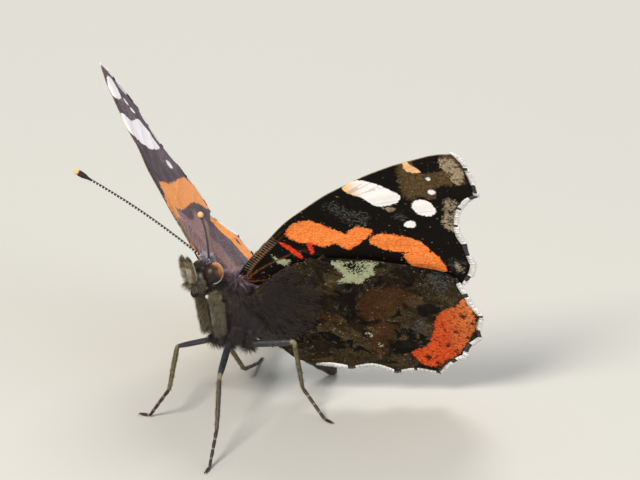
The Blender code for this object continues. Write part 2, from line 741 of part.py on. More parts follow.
def cut_plane(thing, place, outward):
    """Cuts off what lies beyond a plane, and closes the cut."""
    shape = bmesh.new()
    shape.from_mesh(thing.data)
    everything = shape.verts[:] + shape.edges[:] + shape.faces[:]
    cut = bmesh.ops.bisect_plane(shape, geom=everything, plane_co=place, plane_no=outward, clear_outer=True)
    rim = [item for item in cut["geom_cut"] if isinstance(item, bmesh.types.BMEdge)]
    bmesh.ops.contextual_create(shape, geom=rim)
    bmesh.ops.triangulate(shape, faces=shape.faces[:])
    bmesh.ops.recalc_face_normals(shape, faces=shape.faces[:])
    shape.to_mesh(thing.data)
    shape.free()


def mirrored_point(point, side):
    return Vector((point.x * side, point.y, point.z))


def make_palp(name, mirrored, frame):
    palp = tube("palp_" + name, PALP_PATH, PALP_RADII, 10, start_face=PALP_FACE, flatness=PALP_FLATNESS)
    finish_node(palp, "body hair", frame, mirrored)


def make_antenna(name, side, frame):
    """A thin shaft that bows a little and ends in a slim club."""
    run = ANTENNA_RUNS[name]
    length = run.length
    lead = run.normalized()
    foot = mirrored_point(ANTENNA_FOOT, side) + lead * (GAP + 0.1)
    socket_face = (ANTENNA_RISE + lead).normalized()
    stops = [0.0, 0.12, 0.3, 0.5, 0.7, 1.0 - CLUB_LENGTH / length]
    radii = [SHAFT_RADIUS] * len(stops)
    neck = stops[-1]
    for share, radius in CLUB_PROFILE:
        stops.append(neck + (1.0 - neck) * share)
        radii.append(radius)
    path = [foot + run * s + Vector((0.0, 0.0, ANTENNA_BOW * math.sin(math.pi * s))) for s in stops]
    antenna = tube("antenna_" + name, path, radii, LEG_SIDES, start_face=socket_face)
    finish_node(antenna, "antenna scales", frame)


def main():
    for thing in list(bpy.data.objects):
        bpy.data.objects.remove(thing)
    frame = bpy.data.objects.new("body_frame", None)
    bpy.context.scene.collection.objects.link(frame)
    frame.matrix_world = Matrix.Translation((0.0, 0.0, BODY_HEIGHT * MM)) @ stance().to_4x4()
    make_thorax(frame)
    make_abdomen(frame)
    make_head(frame)
    make_wings(frame)
    make_legs(frame)
    centre_on_ground(frame)


def centre_on_ground(frame):
    """Moves the whole insect so that the middle of its box is over the origin."""
    bpy.context.view_layer.update()
    corners = [thing.matrix_world @ vertex.co for thing in frame.children for vertex in thing.data.vertices]
    points = np.array([tuple(corner) for corner in corners])
    middle = (points.min(axis=0) + points.max(axis=0)) / 2
    frame.location.x -= middle[0]
    frame.location.y -= middle[1]


main()
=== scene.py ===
# Red admiral butterfly, life size, standing with its wings half raised.
# Sizes are millimetres until a mesh is made. Body axes: x to the insect's left, y to its tail, z up,
# from the middle of the thorax. Wing plans: distance out and distance forward from the wing root.
import math

import bmesh
import bpy
import numpy as np
from mathutils import Matrix, Vector
from mathutils.geometry import delaunay_2d_cdt


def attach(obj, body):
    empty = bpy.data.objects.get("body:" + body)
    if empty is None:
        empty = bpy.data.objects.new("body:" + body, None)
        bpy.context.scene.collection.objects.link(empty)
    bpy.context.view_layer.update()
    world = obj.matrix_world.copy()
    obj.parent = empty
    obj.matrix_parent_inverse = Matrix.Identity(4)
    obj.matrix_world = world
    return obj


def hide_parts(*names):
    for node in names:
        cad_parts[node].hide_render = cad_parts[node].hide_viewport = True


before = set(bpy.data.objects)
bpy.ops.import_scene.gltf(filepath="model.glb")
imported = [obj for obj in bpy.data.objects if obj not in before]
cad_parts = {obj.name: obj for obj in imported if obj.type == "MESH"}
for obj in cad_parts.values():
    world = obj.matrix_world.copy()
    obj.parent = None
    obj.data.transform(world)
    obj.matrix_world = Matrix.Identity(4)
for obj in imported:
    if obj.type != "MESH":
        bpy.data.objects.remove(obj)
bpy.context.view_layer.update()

mm = 0.001
stance = {"pitch": 37.9, "roll": 5.8, "centre": (1.488, -3.2545, 11.8)}


def turned(x, y, z):  # degrees about x, then y, then z
    turns = [Matrix.Rotation(math.radians(a), 3, axis) for a, axis in ((z, "Z"), (y, "Y"), (x, "X"))]
    return np.array(turns[0] @ turns[1] @ turns[2])


bodyTurn = turned(-stance["pitch"], 0, 0) @ turned(0, -stance["roll"], 0)


def bodyToRow(points):
    return (np.asarray(points, float) @ bodyTurn.T + np.array(stance["centre"])) * mm


def groundToBody(point):  # from millimetres under the thorax middle, z up from the floor
    return (np.array(point, float) - (0, 0, stance["centre"][2])) @ bodyTurn


def bodyToGround(point):
    return np.array(point, float) @ bodyTurn.T + (0, 0, stance["centre"][2])


def linear(code):  # sRGB hex to a linear colour
    parts = [int(code[k:k + 2], 16) / 255 for k in (1, 3, 5)]
    return (*[c / 12.92 if c <= 0.04045 else ((c + 0.055) / 1.055) ** 2.4 for c in parts], 1.0)


def unit(vectors):
    vectors = np.asarray(vectors, float)
    return vectors / np.maximum(1e-9, np.linalg.norm(vectors, axis=-1, keepdims=True))


def smoothStep(low, high, value):
    t = np.clip((value - low) / (high - low), 0, 1)
    return t * t * (3 - 2 * t)


def addNode(tree, kind, inputs=None, **settings):  # one node, its inputs being values or other nodes' outputs
    node = tree.nodes.new(kind)
    for name, value in settings.items():
        setattr(node, name, value)
    for key, value in (inputs or {}).items():
        if isinstance(value, bpy.types.NodeSocket):
            tree.links.new(value, node.inputs[key])
        else:
            node.inputs[key].default_value = value
    return node


def newFinish(name):  # a new material, its node tree and its shader
    finish = bpy.data.materials.new(name)
    finish.use_nodes = True
    return finish, finish.node_tree, finish.node_tree.nodes["Principled BSDF"]


def setAttribute(mesh, name, kind, values, domain="POINT"):
    held = mesh.attributes.new(name, kind, domain)
    key = {"FLOAT": "value", "FLOAT_VECTOR": "vector", "FLOAT_COLOR": "color"}[kind]
    held.data.foreach_set(key, np.asarray(values, np.float32).ravel())


def makeMesh(name, points, faces):
    mesh = bpy.data.meshes.new(name)
    mesh.from_pydata([tuple(p) for p in points], [], [tuple(f) for f in faces])
    mesh.polygons.foreach_set("use_smooth", np.ones(len(mesh.polygons), bool))
    mesh.update()
    return mesh


def makePiece(name, mesh, finishes, nodes=()):
    thing = bpy.data.objects.new(name, mesh)
    bpy.context.scene.collection.objects.link(thing)
    for finish in finishes:
        mesh.materials.append(finish)
    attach(thing, "root")
    if nodes:
        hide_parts(*nodes)
    return thing


def evaluatedMesh(thing):
    bpy.context.view_layer.update()
    graph = bpy.context.evaluated_depsgraph_get()
    return bpy.data.meshes.new_from_object(thing.evaluated_get(graph))


# Camera, floor and light

cameraView = {
    "right": (0.577, 0.810, -0.099), "back": (0.779, -0.511, 0.361), "offset": (9.67, 5.68, 701.59),
    "focalPixels": 7240.0, "photoWidth": 640.0, "sensor": 36.0, "clip": (0.05, 5.0),
}


def cameraAxes():
    right = unit(cameraView["right"])
    back = np.array(cameraView["back"])
    back = unit(back - right * (back @ right))
    return right, np.cross(back, right), back


def placeCamera():
    right, up, back = cameraAxes()
    place = np.array(stance["centre"]) + sum(k * axis for k, axis in zip(cameraView["offset"], (right, up, back)))
    data = bpy.data.cameras.new("photo camera")
    data.sensor_width = cameraView["sensor"]
    data.lens = cameraView["focalPixels"] * cameraView["sensor"] / cameraView["photoWidth"]
    data.clip_start, data.clip_end = cameraView["clip"]
    camera = bpy.data.objects.new("photo camera", data)
    bpy.context.scene.collection.objects.link(camera)
    turn = Matrix([[*row] for row in np.stack([right, up, back], axis=1)])
    camera.matrix_world = Matrix.Translation(Vector(place * mm)) @ turn.to_4x4()
    bpy.context.scene.camera = camera


studio = {
    "floorHex": "#c3c4c0", "floorSize": 3.0, "floorRoughness": 0.9, "aim": (0.0, 0.0, 0.014),
    "skyHex": "#e6ebf0", "skyStrength": 0.42,
    "key": {"place": (0.16, -0.36, 0.42), "size": 0.22, "watts": 3.3, "hex": "#fff4e4"},
    "fill": {"place": (0.5, 0.12, 0.22), "size": 0.4, "watts": 1.0, "hex": "#eef3ff"},
    "rim": {"place": (-0.34, 0.3, 0.4), "size": 0.25, "watts": 1.8, "hex": "#fffaf2"},
}


def lightStudio():
    world = bpy.data.worlds.new("studio sky")
    world.use_nodes = True
    sky = world.node_tree.nodes["Background"]
    sky.inputs["Color"].default_value = linear(studio["skyHex"])
    sky.inputs["Strength"].default_value = studio["skyStrength"]
    bpy.context.scene.world = world
    bpy.context.scene.view_settings.view_transform = "Standard"
    for name in ("key", "fill", "rim"):
        lamp = studio[name]
        data = bpy.data.lights.new(name + " light", "AREA")
        data.shape, data.size, data.energy = "DISK", lamp["size"], lamp["watts"]
        data.color = linear(lamp["hex"])[:3]
        thing = bpy.data.objects.new(name + " light", data)
        bpy.context.scene.collection.objects.link(thing)
        thing.location = lamp["place"]
        aim = Vector(studio["aim"]) - Vector(lamp["place"])
        thing.rotation_euler = aim.to_track_quat("-Z", "Y").to_euler()
    half = studio["floorSize"] / 2
    floor = bpy.data.objects.new("studio_floor", makeMesh(
        "studio_floor", [(-half, -half, 0), (half, -half, 0), (half, half, 0), (-half, half, 0)], [(0, 1, 2, 3)]))
    bpy.context.scene.collection.objects.link(floor)
    paper, _, shader = newFinish("matt paper floor")
    shader.inputs["Base Color"].default_value = linear(studio["floorHex"])
    shader.inputs["Roughness"].default_value = studio["floorRoughness"]
    floor.data.materials.append(paper)


placeCamera()
lightStudio()
print("camera, floor and light are set")


# Wings: plans shared with the solids, then a fine membrane with raised veins

wingPose = {
    "root": (2.3, 0.0, 1.7), "turn": (-31.4, -19.6, 31.7), "rightLift": 3.0, "droop": 0.8, "length": 31.0,
    "hindDrop": 0.45, "pointStep": 0.26, "rimStep": 0.22, "thickness": 0.13, "rootThickness": 0.5,
    "rootFade": 3.2, "veinHeight": 0.075, "veinWidth": 0.2, "pleat": 0.05, "fringe": 0.5,
    "overhang": 0.24,  # how far the fringe reaches past the solids' margin
}
# Each margin point has the depth of the hollow up to the next one and the shares of it that are white
forePlan = {
    "socket": (0.4, 0.3, 1.9), "drop": 0.0,
    "costa": ((1.3, 3.3), (3.1, 5.2), (7.1, 9.4), (13.3, 13.8), (18.5, 16.45), (22.7, 17.9)),
    "margin": (
        ((24.8, 18.2), -0.35, ((0.0, 0.93),)), ((25.9, 16.1), -0.1, ((0.06, 0.56), (0.86, 1.0))),
        ((26.2, 12.3), 0.25, ((0.3, 0.97),)), ((24.2, 10.6), 0.2, ((0.08, 0.88),)),
        ((23.3, 8.1), 0.2, ((0.03, 0.9),)), ((23.7, 5.5), 0.15, ((0.55, 1.0),)),
        ((23.9, 2.8), -0.3, ((0.0, 0.5), (0.8, 1.0))), ((22.2, 0.1), 0.0, ()),
    ),
    "inner": ((14.0, 0.35), (5.0, 0.0)),
    "veins": (
        ((0.9, 1.5), (4.8, 6.0), (10.0, 10.4)), ((0.9, 1.1), (5.0, 3.9), (11.0, 6.3)),
        ((10.0, 10.4), (10.4, 8.6), (11.0, 6.3)), ((2.2, 4.0), (7.0, 8.7), (11.7, 12.3)),
        ((7.6, 8.4), (11.4, 11.5), (15.2, 14.1)), ((10.0, 10.4), (14.6, 13.3), (18.9, 16.0)),
        ((12.6, 12.1), (17.6, 15.0), (22.5, 17.3)), ((15.1, 12.9), (19.8, 15.5), (24.3, 17.5)),
        ((10.0, 10.4), (17.4, 13.7), (25.2, 15.7)), ((10.2, 9.7), (18.0, 11.7), (25.6, 12.2)),
        ((10.6, 8.3), (17.4, 9.7), (23.8, 10.6)), ((11.0, 6.3), (17.2, 7.6), (22.9, 8.1)),
        ((9.9, 5.9), (16.8, 5.6), (23.3, 5.5)), ((7.0, 4.9), (15.0, 3.3), (23.5, 2.8)),
        ((0.9, 0.8), (11.0, 1.1), (21.8, 0.5)),
    ),
}
hindPlan = {
    "socket": (1.1, -2.5, -0.7), "drop": wingPose["hindDrop"],
    "costa": ((3.6, 1.8), (7.6, 3.9), (12.1, 4.1), (16.5, 3.4), (20.2, 2.5)),
    "margin": (
        ((21.9, 1.3), 0.15, ((0.3, 0.95),)), ((22.5, -0.9), 0.2, ((0.12, 0.95),)),
        ((23.4, -4.0), 0.25, ((0.03, 0.66),)), ((22.7, -6.9), 0.3, ((0.0, 0.4), (0.78, 1.0))),
        ((20.6, -9.6), 0.3, ((0.0, 0.26), (0.42, 1.0))), ((17.7, -11.9), 0.45, ((0.08, 0.52), (0.58, 0.88))),
        ((13.3, -11.8), 0.75, ((0.06, 0.9),)), ((8.8, -11.2), 0.1, ((0.1, 0.9),)), ((5.0, -10.4), 0.0, ()),
    ),
    "inner": ((3.4, -9.6), (2.3, -7.8), (1.7, -5.0)),
    # the right hindwing's rear part bends up: by how much, from where and over what length
    "rise": {"left": 0.0, "right": 1.3}, "riseStart": 1.5, "riseLength": 7.5, "length": 23.0,
    "veins": (
        ((1.6, -1.0), (4.8, 0.6), (9.0, 0.3)), ((1.6, -1.5), (5.4, -2.6), (10.3, -3.7)),
        ((9.0, 0.3), (9.9, -1.4), (10.3, -3.7)), ((2.6, 0.0), (9.4, 3.0), (19.6, 1.9)),
        ((4.8, 0.6), (12.6, 1.6), (21.4, 0.6)), ((9.0, 0.3), (15.6, 0.1), (22.1, -1.0)),
        ((9.5, -0.8), (16.4, -2.0), (22.9, -4.0)), ((10.0, -2.2), (16.4, -4.3), (22.3, -6.7)),
        ((10.3, -3.7), (15.6, -6.4), (20.3, -9.3)), ((9.4, -3.6), (13.8, -7.4), (17.5, -11.4)),
        ((6.6, -2.9), (10.2, -7.1), (13.2, -11.3)), ((1.7, -1.9), (5.2, -6.0), (8.8, -10.7)),
        ((1.6, -2.2), (2.9, -5.8), (5.0, -9.9)),
    ),
}


def wingToBody(points, side):
    x, y, z = wingPose["turn"]
    root = np.array(wingPose["root"])
    points = np.array(points, float)
    if side == "right":
        y, z = -(y - wingPose["rightLift"]), -z
        root[0] *= -1
        points[:, 0] *= -1
    return points @ turned(x, y, z).T + root


def wingToRow(points, side):
    return bodyToRow(wingToBody(points, side))


def bow(start, middle, end, count):  # points along the parabola through three
    start, middle, end = (np.array(p, float) for p in (start, middle, end))
    control = 2 * middle - (start + end) / 2
    t = np.linspace(0, 1, count)[:, None]
    return (1 - t) ** 2 * start + 2 * t * (1 - t) * control + t**2 * end


def spline(points, step, closed=False):
    points = [np.array(p, float) for p in points]
    if closed:
        ends = [points[-1], *points, points[0], points[1]]
    else:
        ends = [2 * points[0] - points[1], *points, 2 * points[-1] - points[-2]]
    line = [] if closed else [points[0]]
    for a, b, c, d in zip(ends, ends[1:], ends[2:], ends[3:]):
        count = max(1, round(np.linalg.norm(c - b) / step))
        for k in range(1, count + 1):
            t = k / count
            line.append(0.5 * (2 * b + (c - a) * t + (2 * a - 5 * b + 4 * c - d) * t**2
                               + (3 * b - a - 3 * c + d) * t**3))
    return np.array(line)


def lineDistance(places, line, closed=False):
    ends = np.roll(line, -1, axis=0) if closed else line[1:]
    starts = line if closed else line[:-1]
    found = np.full(len(places), 1e9)
    for a, b in zip(starts, ends):
        run = b - a
        along = np.clip((places - a) @ run / max(1e-12, run @ run), 0, 1)
        found = np.minimum(found, np.linalg.norm(places - a - along[:, None] * run, axis=1))
    return found


def within(places, loop):
    crossed = np.zeros(len(places), bool)
    for a, b in zip(loop, np.roll(loop, -1, axis=0)):
        if a[1] != b[1]:
            at = a[0] + (places[:, 1] - a[1]) / (b[1] - a[1]) * (b[0] - a[0])
            crossed ^= ((a[1] > places[:, 1]) != (b[1] > places[:, 1])) & (places[:, 0] < at)
    return crossed


def depthInside(places, loops):  # millimetres inside the nearest mark, negative outside
    best = np.full(len(places), -9.0)
    for points in loops:
        loop = spline(points, 0.25, closed=True)
        far = lineDistance(places, loop, closed=True)
        best = np.maximum(best, np.where(within(places, loop), far, -far))
    return best


def discDepth(places, discs):  # the same for round marks, each a centre and a radius
    best = np.full(len(places), -9.0)
    for (out, fore), radius in discs:
        best = np.maximum(best, radius - np.hypot(places[:, 0] - out, places[:, 1] - fore))
    return best


def marginLine(plan, step):
    # places, outward directions and whiteness along the outer margin
    places, outward, white = [], [], []
    for (start, depth, spans), (end, _, _) in zip(plan["margin"], plan["margin"][1:]):
        start, end = np.array(start, float), np.array(end, float)
        run = end - start
        length = np.linalg.norm(run)
        inward = np.array([run[1], -run[0]]) / length
        count = max(2, round(length / step))
        for k in range(count):
            t = k / count
            slope = run / length + inward * depth * math.pi * math.cos(math.pi * t) / length
            places.append(start + run * t + inward * depth * math.sin(math.pi * t))
            outward.append(unit(np.array([-slope[1], slope[0]])))
            white.append(float(any(low <= t <= high for low, high in spans)))
    places.append(np.array(plan["margin"][-1][0], float))
    outward.append(outward[-1])
    white.append(0.0)
    places, outward = np.array(places), np.array(outward)
    reach = max(1, round(0.8 / step))
    padded = np.pad(outward, ((reach, reach), (0, 0)), mode="edge")
    outward = unit(np.stack([padded[k:k + len(outward)] for k in range(2 * reach + 1)]).mean(axis=0))
    return places, outward, np.array(white)


def membraneOutline(plan):
    out, rear, front = plan["socket"]
    start = np.array((out - 0.9, rear + 0.2)), np.array((out - 0.6, front - 0.6))
    first, last = plan["margin"][0][0], plan["margin"][-1][0]
    costa = spline([start[1], (out, front), *plan["costa"], first], wingPose["rimStep"] * 1.6)
    inner = spline([last, *plan["inner"], (out, rear), start[0]], wingPose["rimStep"] * 1.8)
    places, outward, _ = marginLine(plan, wingPose["rimStep"])
    share = np.arange(len(places)) * wingPose["rimStep"]
    fade = smoothStep(0, 1.1, share) * smoothStep(0, 1.1, share[::-1])
    margin = places - outward * ((wingPose["fringe"] - wingPose["overhang"]) * fade)[:, None]
    return np.vstack([costa[:-1], margin, inner[1:]]), costa


def veinLines(plan):
    return [bow(*vein, max(6, round(math.dist(vein[0], vein[2]) / 0.4))) for vein in plan["veins"]]


def droopAt(plan, places, side):
    reach = np.hypot(places[:, 0], places[:, 1])
    height = -plan["drop"] - wingPose["droop"] * (reach / wingPose["length"]) ** 2
    if "rise" in plan:
        rear = smoothStep(0, plan["riseLength"], plan["riseStart"] - places[:, 1])
        height = height + plan["rise"][side] * rear * places[:, 0] / plan["length"]
    return height


def planMesh(plan):
    outline, costa = membraneOutline(plan)
    lines = veinLines(plan)
    step = wingPose["pointStep"]
    low, high = outline.min(axis=0), outline.max(axis=0)
    rows = np.arange(low[1], high[1], step * 0.87)
    cells = [(x + (k % 2) * step / 2, y) for k, y in enumerate(rows) for x in np.arange(low[0], high[0], step)]
    cells = np.array(cells)
    cells = cells[within(cells, outline)]
    near = np.min([lineDistance(cells, line) for line in lines], axis=0)
    rim = lineDistance(cells, outline, closed=True)
    cells = cells[(rim > step * 0.6) & (near > step * 0.45)]
    onVein = np.vstack(lines)
    onVein = onVein[within(onVein, outline) & (lineDistance(onVein, outline, closed=True) > 0.1)]
    kept = []
    for point in onVein:
        if not kept or np.min(np.linalg.norm(np.array(kept) - point, axis=1)) > 0.12:
            kept.append(point)
    points = [Vector(p) for p in np.vstack([outline, cells, np.array(kept)])]
    flat, _, triangles, _, _, _ = delaunay_2d_cdt(points, [], [list(range(len(outline)))], 0, 1e-5, True)
    flat = np.array([tuple(p) for p in flat])
    triangles = np.array([tuple(t) for t in triangles])
    triangles = triangles[within(flat[triangles].mean(axis=1), outline)]
    return flat, triangles, outline, costa, lines


def waviness(places, seed):  # a slow, seeded unevenness of about one
    rng = np.random.default_rng(seed)
    total = np.zeros(len(places))
    for _ in range(7):
        angle, phase = rng.uniform(0, 2 * math.pi, 2)
        wave = rng.uniform(3.0, 8.0)
        along = places[:, 0] * math.cos(angle) + places[:, 1] * math.sin(angle)
        total += np.sin(along * 2 * math.pi / wave + phase)
    return total / 3


# Marks of the two wing faces, as plan loops or as discs
foreUnder = {
    "orange": (
        ((6.1, 7.3), (6.8, 8.3), (7.7, 8.9), (8.6, 9.1), (9.5, 8.8), (10.8, 7.9), (12.0, 7.1), (11.4, 6.0),
         (10.9, 5.9), (9.6, 5.4), (8.7, 5.8), (7.3, 6.0), (6.4, 6.6)),
        ((11.05, 6.0), (12.1, 7.2), (13.4, 8.2), (14.8, 7.7), (14.35, 6.9), (13.7, 6.35), (13.1, 5.8),
         (12.1, 5.1), (11.3, 5.4)),
        ((14.3, 6.1), (14.75, 6.85), (15.7, 7.2), (17.3, 7.0), (19.1, 6.2), (20.0, 4.8), (18.2, 4.5), (16.2, 4.7),
         (14.9, 5.3)),
        ((17.4, 4.4), (20.1, 4.65), (20.9, 3.4), (21.0, 1.9), (18.7, 1.9), (17.7, 2.7), (17.4, 3.5)),
    ),
    "crimson": (((5.2, 6.0), (5.7, 6.0), (7.1, 4.3), (6.8, 3.8)), ((7.9, 5.9), (8.4, 5.9), (8.4, 4.7), (8.1, 4.3))),
    "white": (
        ((13.2, 13.2), (13.6, 14.0), (14.9, 14.6), (16.6, 14.1), (18.1, 13.1), (18.7, 12.3), (18.0, 11.4),
         (16.8, 11.0), (15.8, 11.1), (14.9, 12.1)),
        ((19.5, 11.0), (20.1, 11.8), (21.0, 11.9), (21.6, 11.2), (21.7, 10.1), (20.8, 9.6), (19.8, 10.0)),
        ((18.1, 8.4), (18.7, 8.9), (19.4, 8.8), (19.2, 8.1), (18.5, 8.0)),
    ),
    "whiteDots": (((21.9, 14.8), 0.27), ((21.9, 13.0), 0.4)),
    "creamMark": (((19.8, 16.7), (20.2, 17.3), (20.7, 16.5), (21.4, 15.8), (20.6, 15.5), (19.9, 15.9)),),
    "rings": (((21.9, 13.0), 0.56), ((21.9, 14.8), 0.4)),
    "bays": (
        ((21.1, 17.2), (22.5, 18.2), (23.6, 18.2), (23.4, 16.1), (21.9, 15.7), (21.1, 15.9)),
        ((22.7, 13.7), (25.9, 13.4), (25.1, 12.5), (22.7, 12.0)),
    ),
    "apex": (((19.6, 17.6), (22.0, 18.4), (25.0, 18.2), (25.6, 14.4), (24.0, 13.6), (23.0, 12.4), (20.6, 12.4),
              (20.0, 11.8), (19.3, 11.9), (18.8, 13.7)),),
    "halo": (((21.7, 13.0), 1.1), ((21.9, 14.8), 0.75)),
    "ash": (
        ((23.8, 17.7), (24.8, 17.4), (25.5, 16.0), (25.3, 14.5), (24.5, 14.2), (24.1, 15.4), (23.5, 16.6)),
        ((23.0, 11.9), (23.5, 11.8), (23.0, 9.7), (23.0, 8.3), (23.4, 7.3), (22.8, 7.4), (22.1, 8.3), (22.5, 10.0)),
        ((23.8, 11.7), (24.1, 11.5), (23.7, 10.4), (23.3, 9.0), (23.4, 7.6), (23.1, 8.3), (23.4, 10.0)),
        ((16.7, 10.9), (17.7, 10.7), (17.2, 10.2)), ((22.3, 3.2), (22.8, 2.4), (22.2, 2.0)),
    ),
    "dustAndSheen": (
        ((10.6, 11.0), (11.9, 11.6), (13.4, 10.4), (15.0, 9.7), (14.2, 8.4), (12.8, 8.4), (11.7, 9.7)),
        ((17.4, 9.8), (18.4, 9.9), (18.6, 9.2), (17.4, 9.2)), ((21.6, 3.6), (23.0, 3.4), (22.6, 1.8), (21.8, 2.0)),
    ),
    "pale": (((4.2, 4.4), (4.7, 3.8), (5.7, 3.5), (5.3, 2.9), (4.4, 3.2)),),
    "edges": (((6.1, 6.9), 1.0), ((8.6, 5.6), 0.9), ((12.2, 5.0), 1.1), ((18.6, 2.4), 1.2), ((20.9, 3.0), 0.8)),
}
hindUnder = {
    "orange": (
        ((19.3, -3.4), (20.4, -2.8), (21.4, -2.3), (22.1, -1.3), (22.6, -2.6), (22.7, -4.9), (21.6, -7.0),
         (20.2, -9.0), (18.8, -9.9), (17.6, -10.8), (16.3, -10.6), (15.5, -9.5), (15.5, -8.7), (16.8, -8.2),
         (17.5, -7.5), (18.1, -6.2), (18.5, -4.8)),
    ),
    "dark": (((21.6, -3.9), 0.34), ((20.4, -6.0), 0.27), ((19.2, -8.0), 0.26), ((16.9, -9.6), 0.36)),
    "dashes": (((22.3, -2.2), 0.2), ((22.3, -4.8), 0.24), ((21.4, -6.9), 0.24), ((19.9, -8.8), 0.24),
               ((17.8, -10.4), 0.26)),
    "ovals": (
        ((17.1, -2.7), (17.7, -2.2), (18.9, -2.3), (19.4, -2.9), (18.5, -3.4), (17.5, -3.8)),
        ((14.1, -7.6), (14.8, -7.2), (16.0, -7.4), (16.3, -8.0), (15.8, -8.6), (14.7, -9.0), (14.1, -8.4)),
        ((7.0, -1.1), (7.8, -0.8), (8.3, -1.3), (7.8, -2.3), (7.3, -3.1), (6.8, -2.9)),
        ((10.3, -0.6), (11.3, -0.6), (11.0, -2.0), (10.9, -3.5), (10.5, -3.2), (10.3, -2.3)),
        ((14.4, 3.2), (15.1, 3.35), (15.5, 3.1), (15.0, 2.85)),
    ),
    "pale": (
        ((9.9, 3.7), (10.6, 3.8), (14.5, 3.6), (14.1, 3.1), (13.9, 2.5), (13.8, 1.8), (12.9, 1.4), (12.2, 0.6),
         (11.4, 0.9), (10.0, 0.9), (10.9, 1.8), (10.4, 2.7)),
        ((11.3, -6.0), (11.9, -6.5), (11.6, -6.6)), ((12.2, -7.6), (12.7, -8.0), (12.4, -8.1)),
    ),
    "speckle": (((10.9, 3.8), (13.4, 3.8), (12.9, 2.3), (11.9, 2.0), (11.2, 2.7)),),
    "brown": (
        ((11.2, -2.4), (12.0, -0.6), (14.6, 0.2), (16.8, -0.3), (16.9, -1.9), (15.0, -3.2), (13.7, -4.2),
         (12.1, -4.7), (11.2, -3.8)),
        ((11.7, -5.2), (13.6, -4.7), (14.7, -5.2), (13.5, -7.3), (12.4, -10.1), (11.7, -9.8), (11.4, -7.6)),
        ((4.4, -2.4), (5.9, -2.6), (7.3, -3.3), (9.6, -4.2), (9.6, -5.0), (7.2, -4.3), (5.6, -3.6)),
    ),
    "dustAndSheen": (((19.1, 1.8), (20.3, 2.3), (21.2, 1.6), (20.8, -0.4), (19.6, -0.6), (19.1, 0.4)),
             ((16.4, -4.9), (17.6, -4.3), (17.8, -5.5), (16.2, -6.4))),
}
foreUpper = {
    "orange": (
        ((6.6, 7.6), (8.0, 8.9), (10.1, 8.3), (12.3, 7.3), (16.8, 6.0), (20.5, 5.0), (22.6, 4.2), (23.3, 2.4),
         (22.0, 0.5), (20.9, 0.9), (19.1, 2.2), (15.4, 3.6), (11.4, 4.5), (8.2, 5.5), (7.2, 6.4)),
        ((0.9, 2.4), (3.2, 5.1), (6.0, 8.0), (7.4, 6.7), (5.2, 4.8), (2.6, 2.2)),
    ),
    "white": (
        ((13.4, 14.4), (14.8, 15.1), (16.2, 14.9), (17.8, 13.4), (21.4, 12.3), (21.9, 11.1), (21.7, 9.9), (21.6, 8.6),
         (18.7, 9.3), (15.6, 10.6), (13.4, 12.9)),
        ((19.0, 16.8), (21.6, 17.3), (23.0, 17.3), (24.3, 16.4), (21.5, 15.1), (18.6, 15.9)),
        ((18.6, 7.8), (20.4, 7.2), (20.6, 6.5), (18.8, 6.8)),
    ),
    "whiteDots": (((22.6, 14.2), 0.42), ((22.4, 13.1), 0.4)),
    "brown": (((0.0, -0.6), (0.9, 3.0), (3.6, 5.2), (7.4, 6.2), (10.4, 4.4), (15.4, 2.4), (15.0, 0.0), (6.0, -0.4)),),
    # painted sheen: the purple-grey patches below stand for light grazing the brown-black upper side
    "dustAndSheen": (((17.0, 9.0), (21.6, 8.2), (22.4, 5.6), (18.6, 7.0)),
             ((18.0, 15.4), (22.0, 15.0), (22.0, 12.8), (17.6, 13.2))),
    "bays": (((8.2, 5.4), (9.0, 5.8), (11.0, 5.0), (12.4, 3.4), (10.2, 3.6)),),
}
hindUpper = {
    "orange": (
        ((21.2, 0.4), (22.3, -1.4), (22.8, -4.0), (22.1, -6.8), (20.1, -9.2), (17.6, -11.1), (13.8, -11.1),
         (12.4, -10.3), (14.8, -9.2), (16.8, -8.1), (18.4, -6.4), (19.4, -4.2), (19.8, -2.0), (20.2, -0.4)),
    ),
    "dark": (((21.4, -3.9), 0.42), ((20.3, -6.2), 0.44), ((18.7, -8.3), 0.44), ((16.5, -9.9), 0.42)),
    # painted sheen: the purple-grey patches below stand for light grazing the brown-black upper side
    "dustAndSheen": (
        ((10.6, -9.6), (11.8, -10.0), (12.6, -11.2), (11.0, -11.0)),
        ((12.0, 3.4), (18.5, 2.4), (19.8, -2.0), (19.4, -4.2), (18.4, -6.4), (16.8, -8.1), (14.0, -8.6),
         (13.2, -4.0)),
    ),
    "brown": (((1.0, 0.0), (6.0, 2.8), (13.0, 3.0), (15.0, -1.0), (12.0, -6.0), (8.0, -9.2), (3.0, -8.0)),),
}


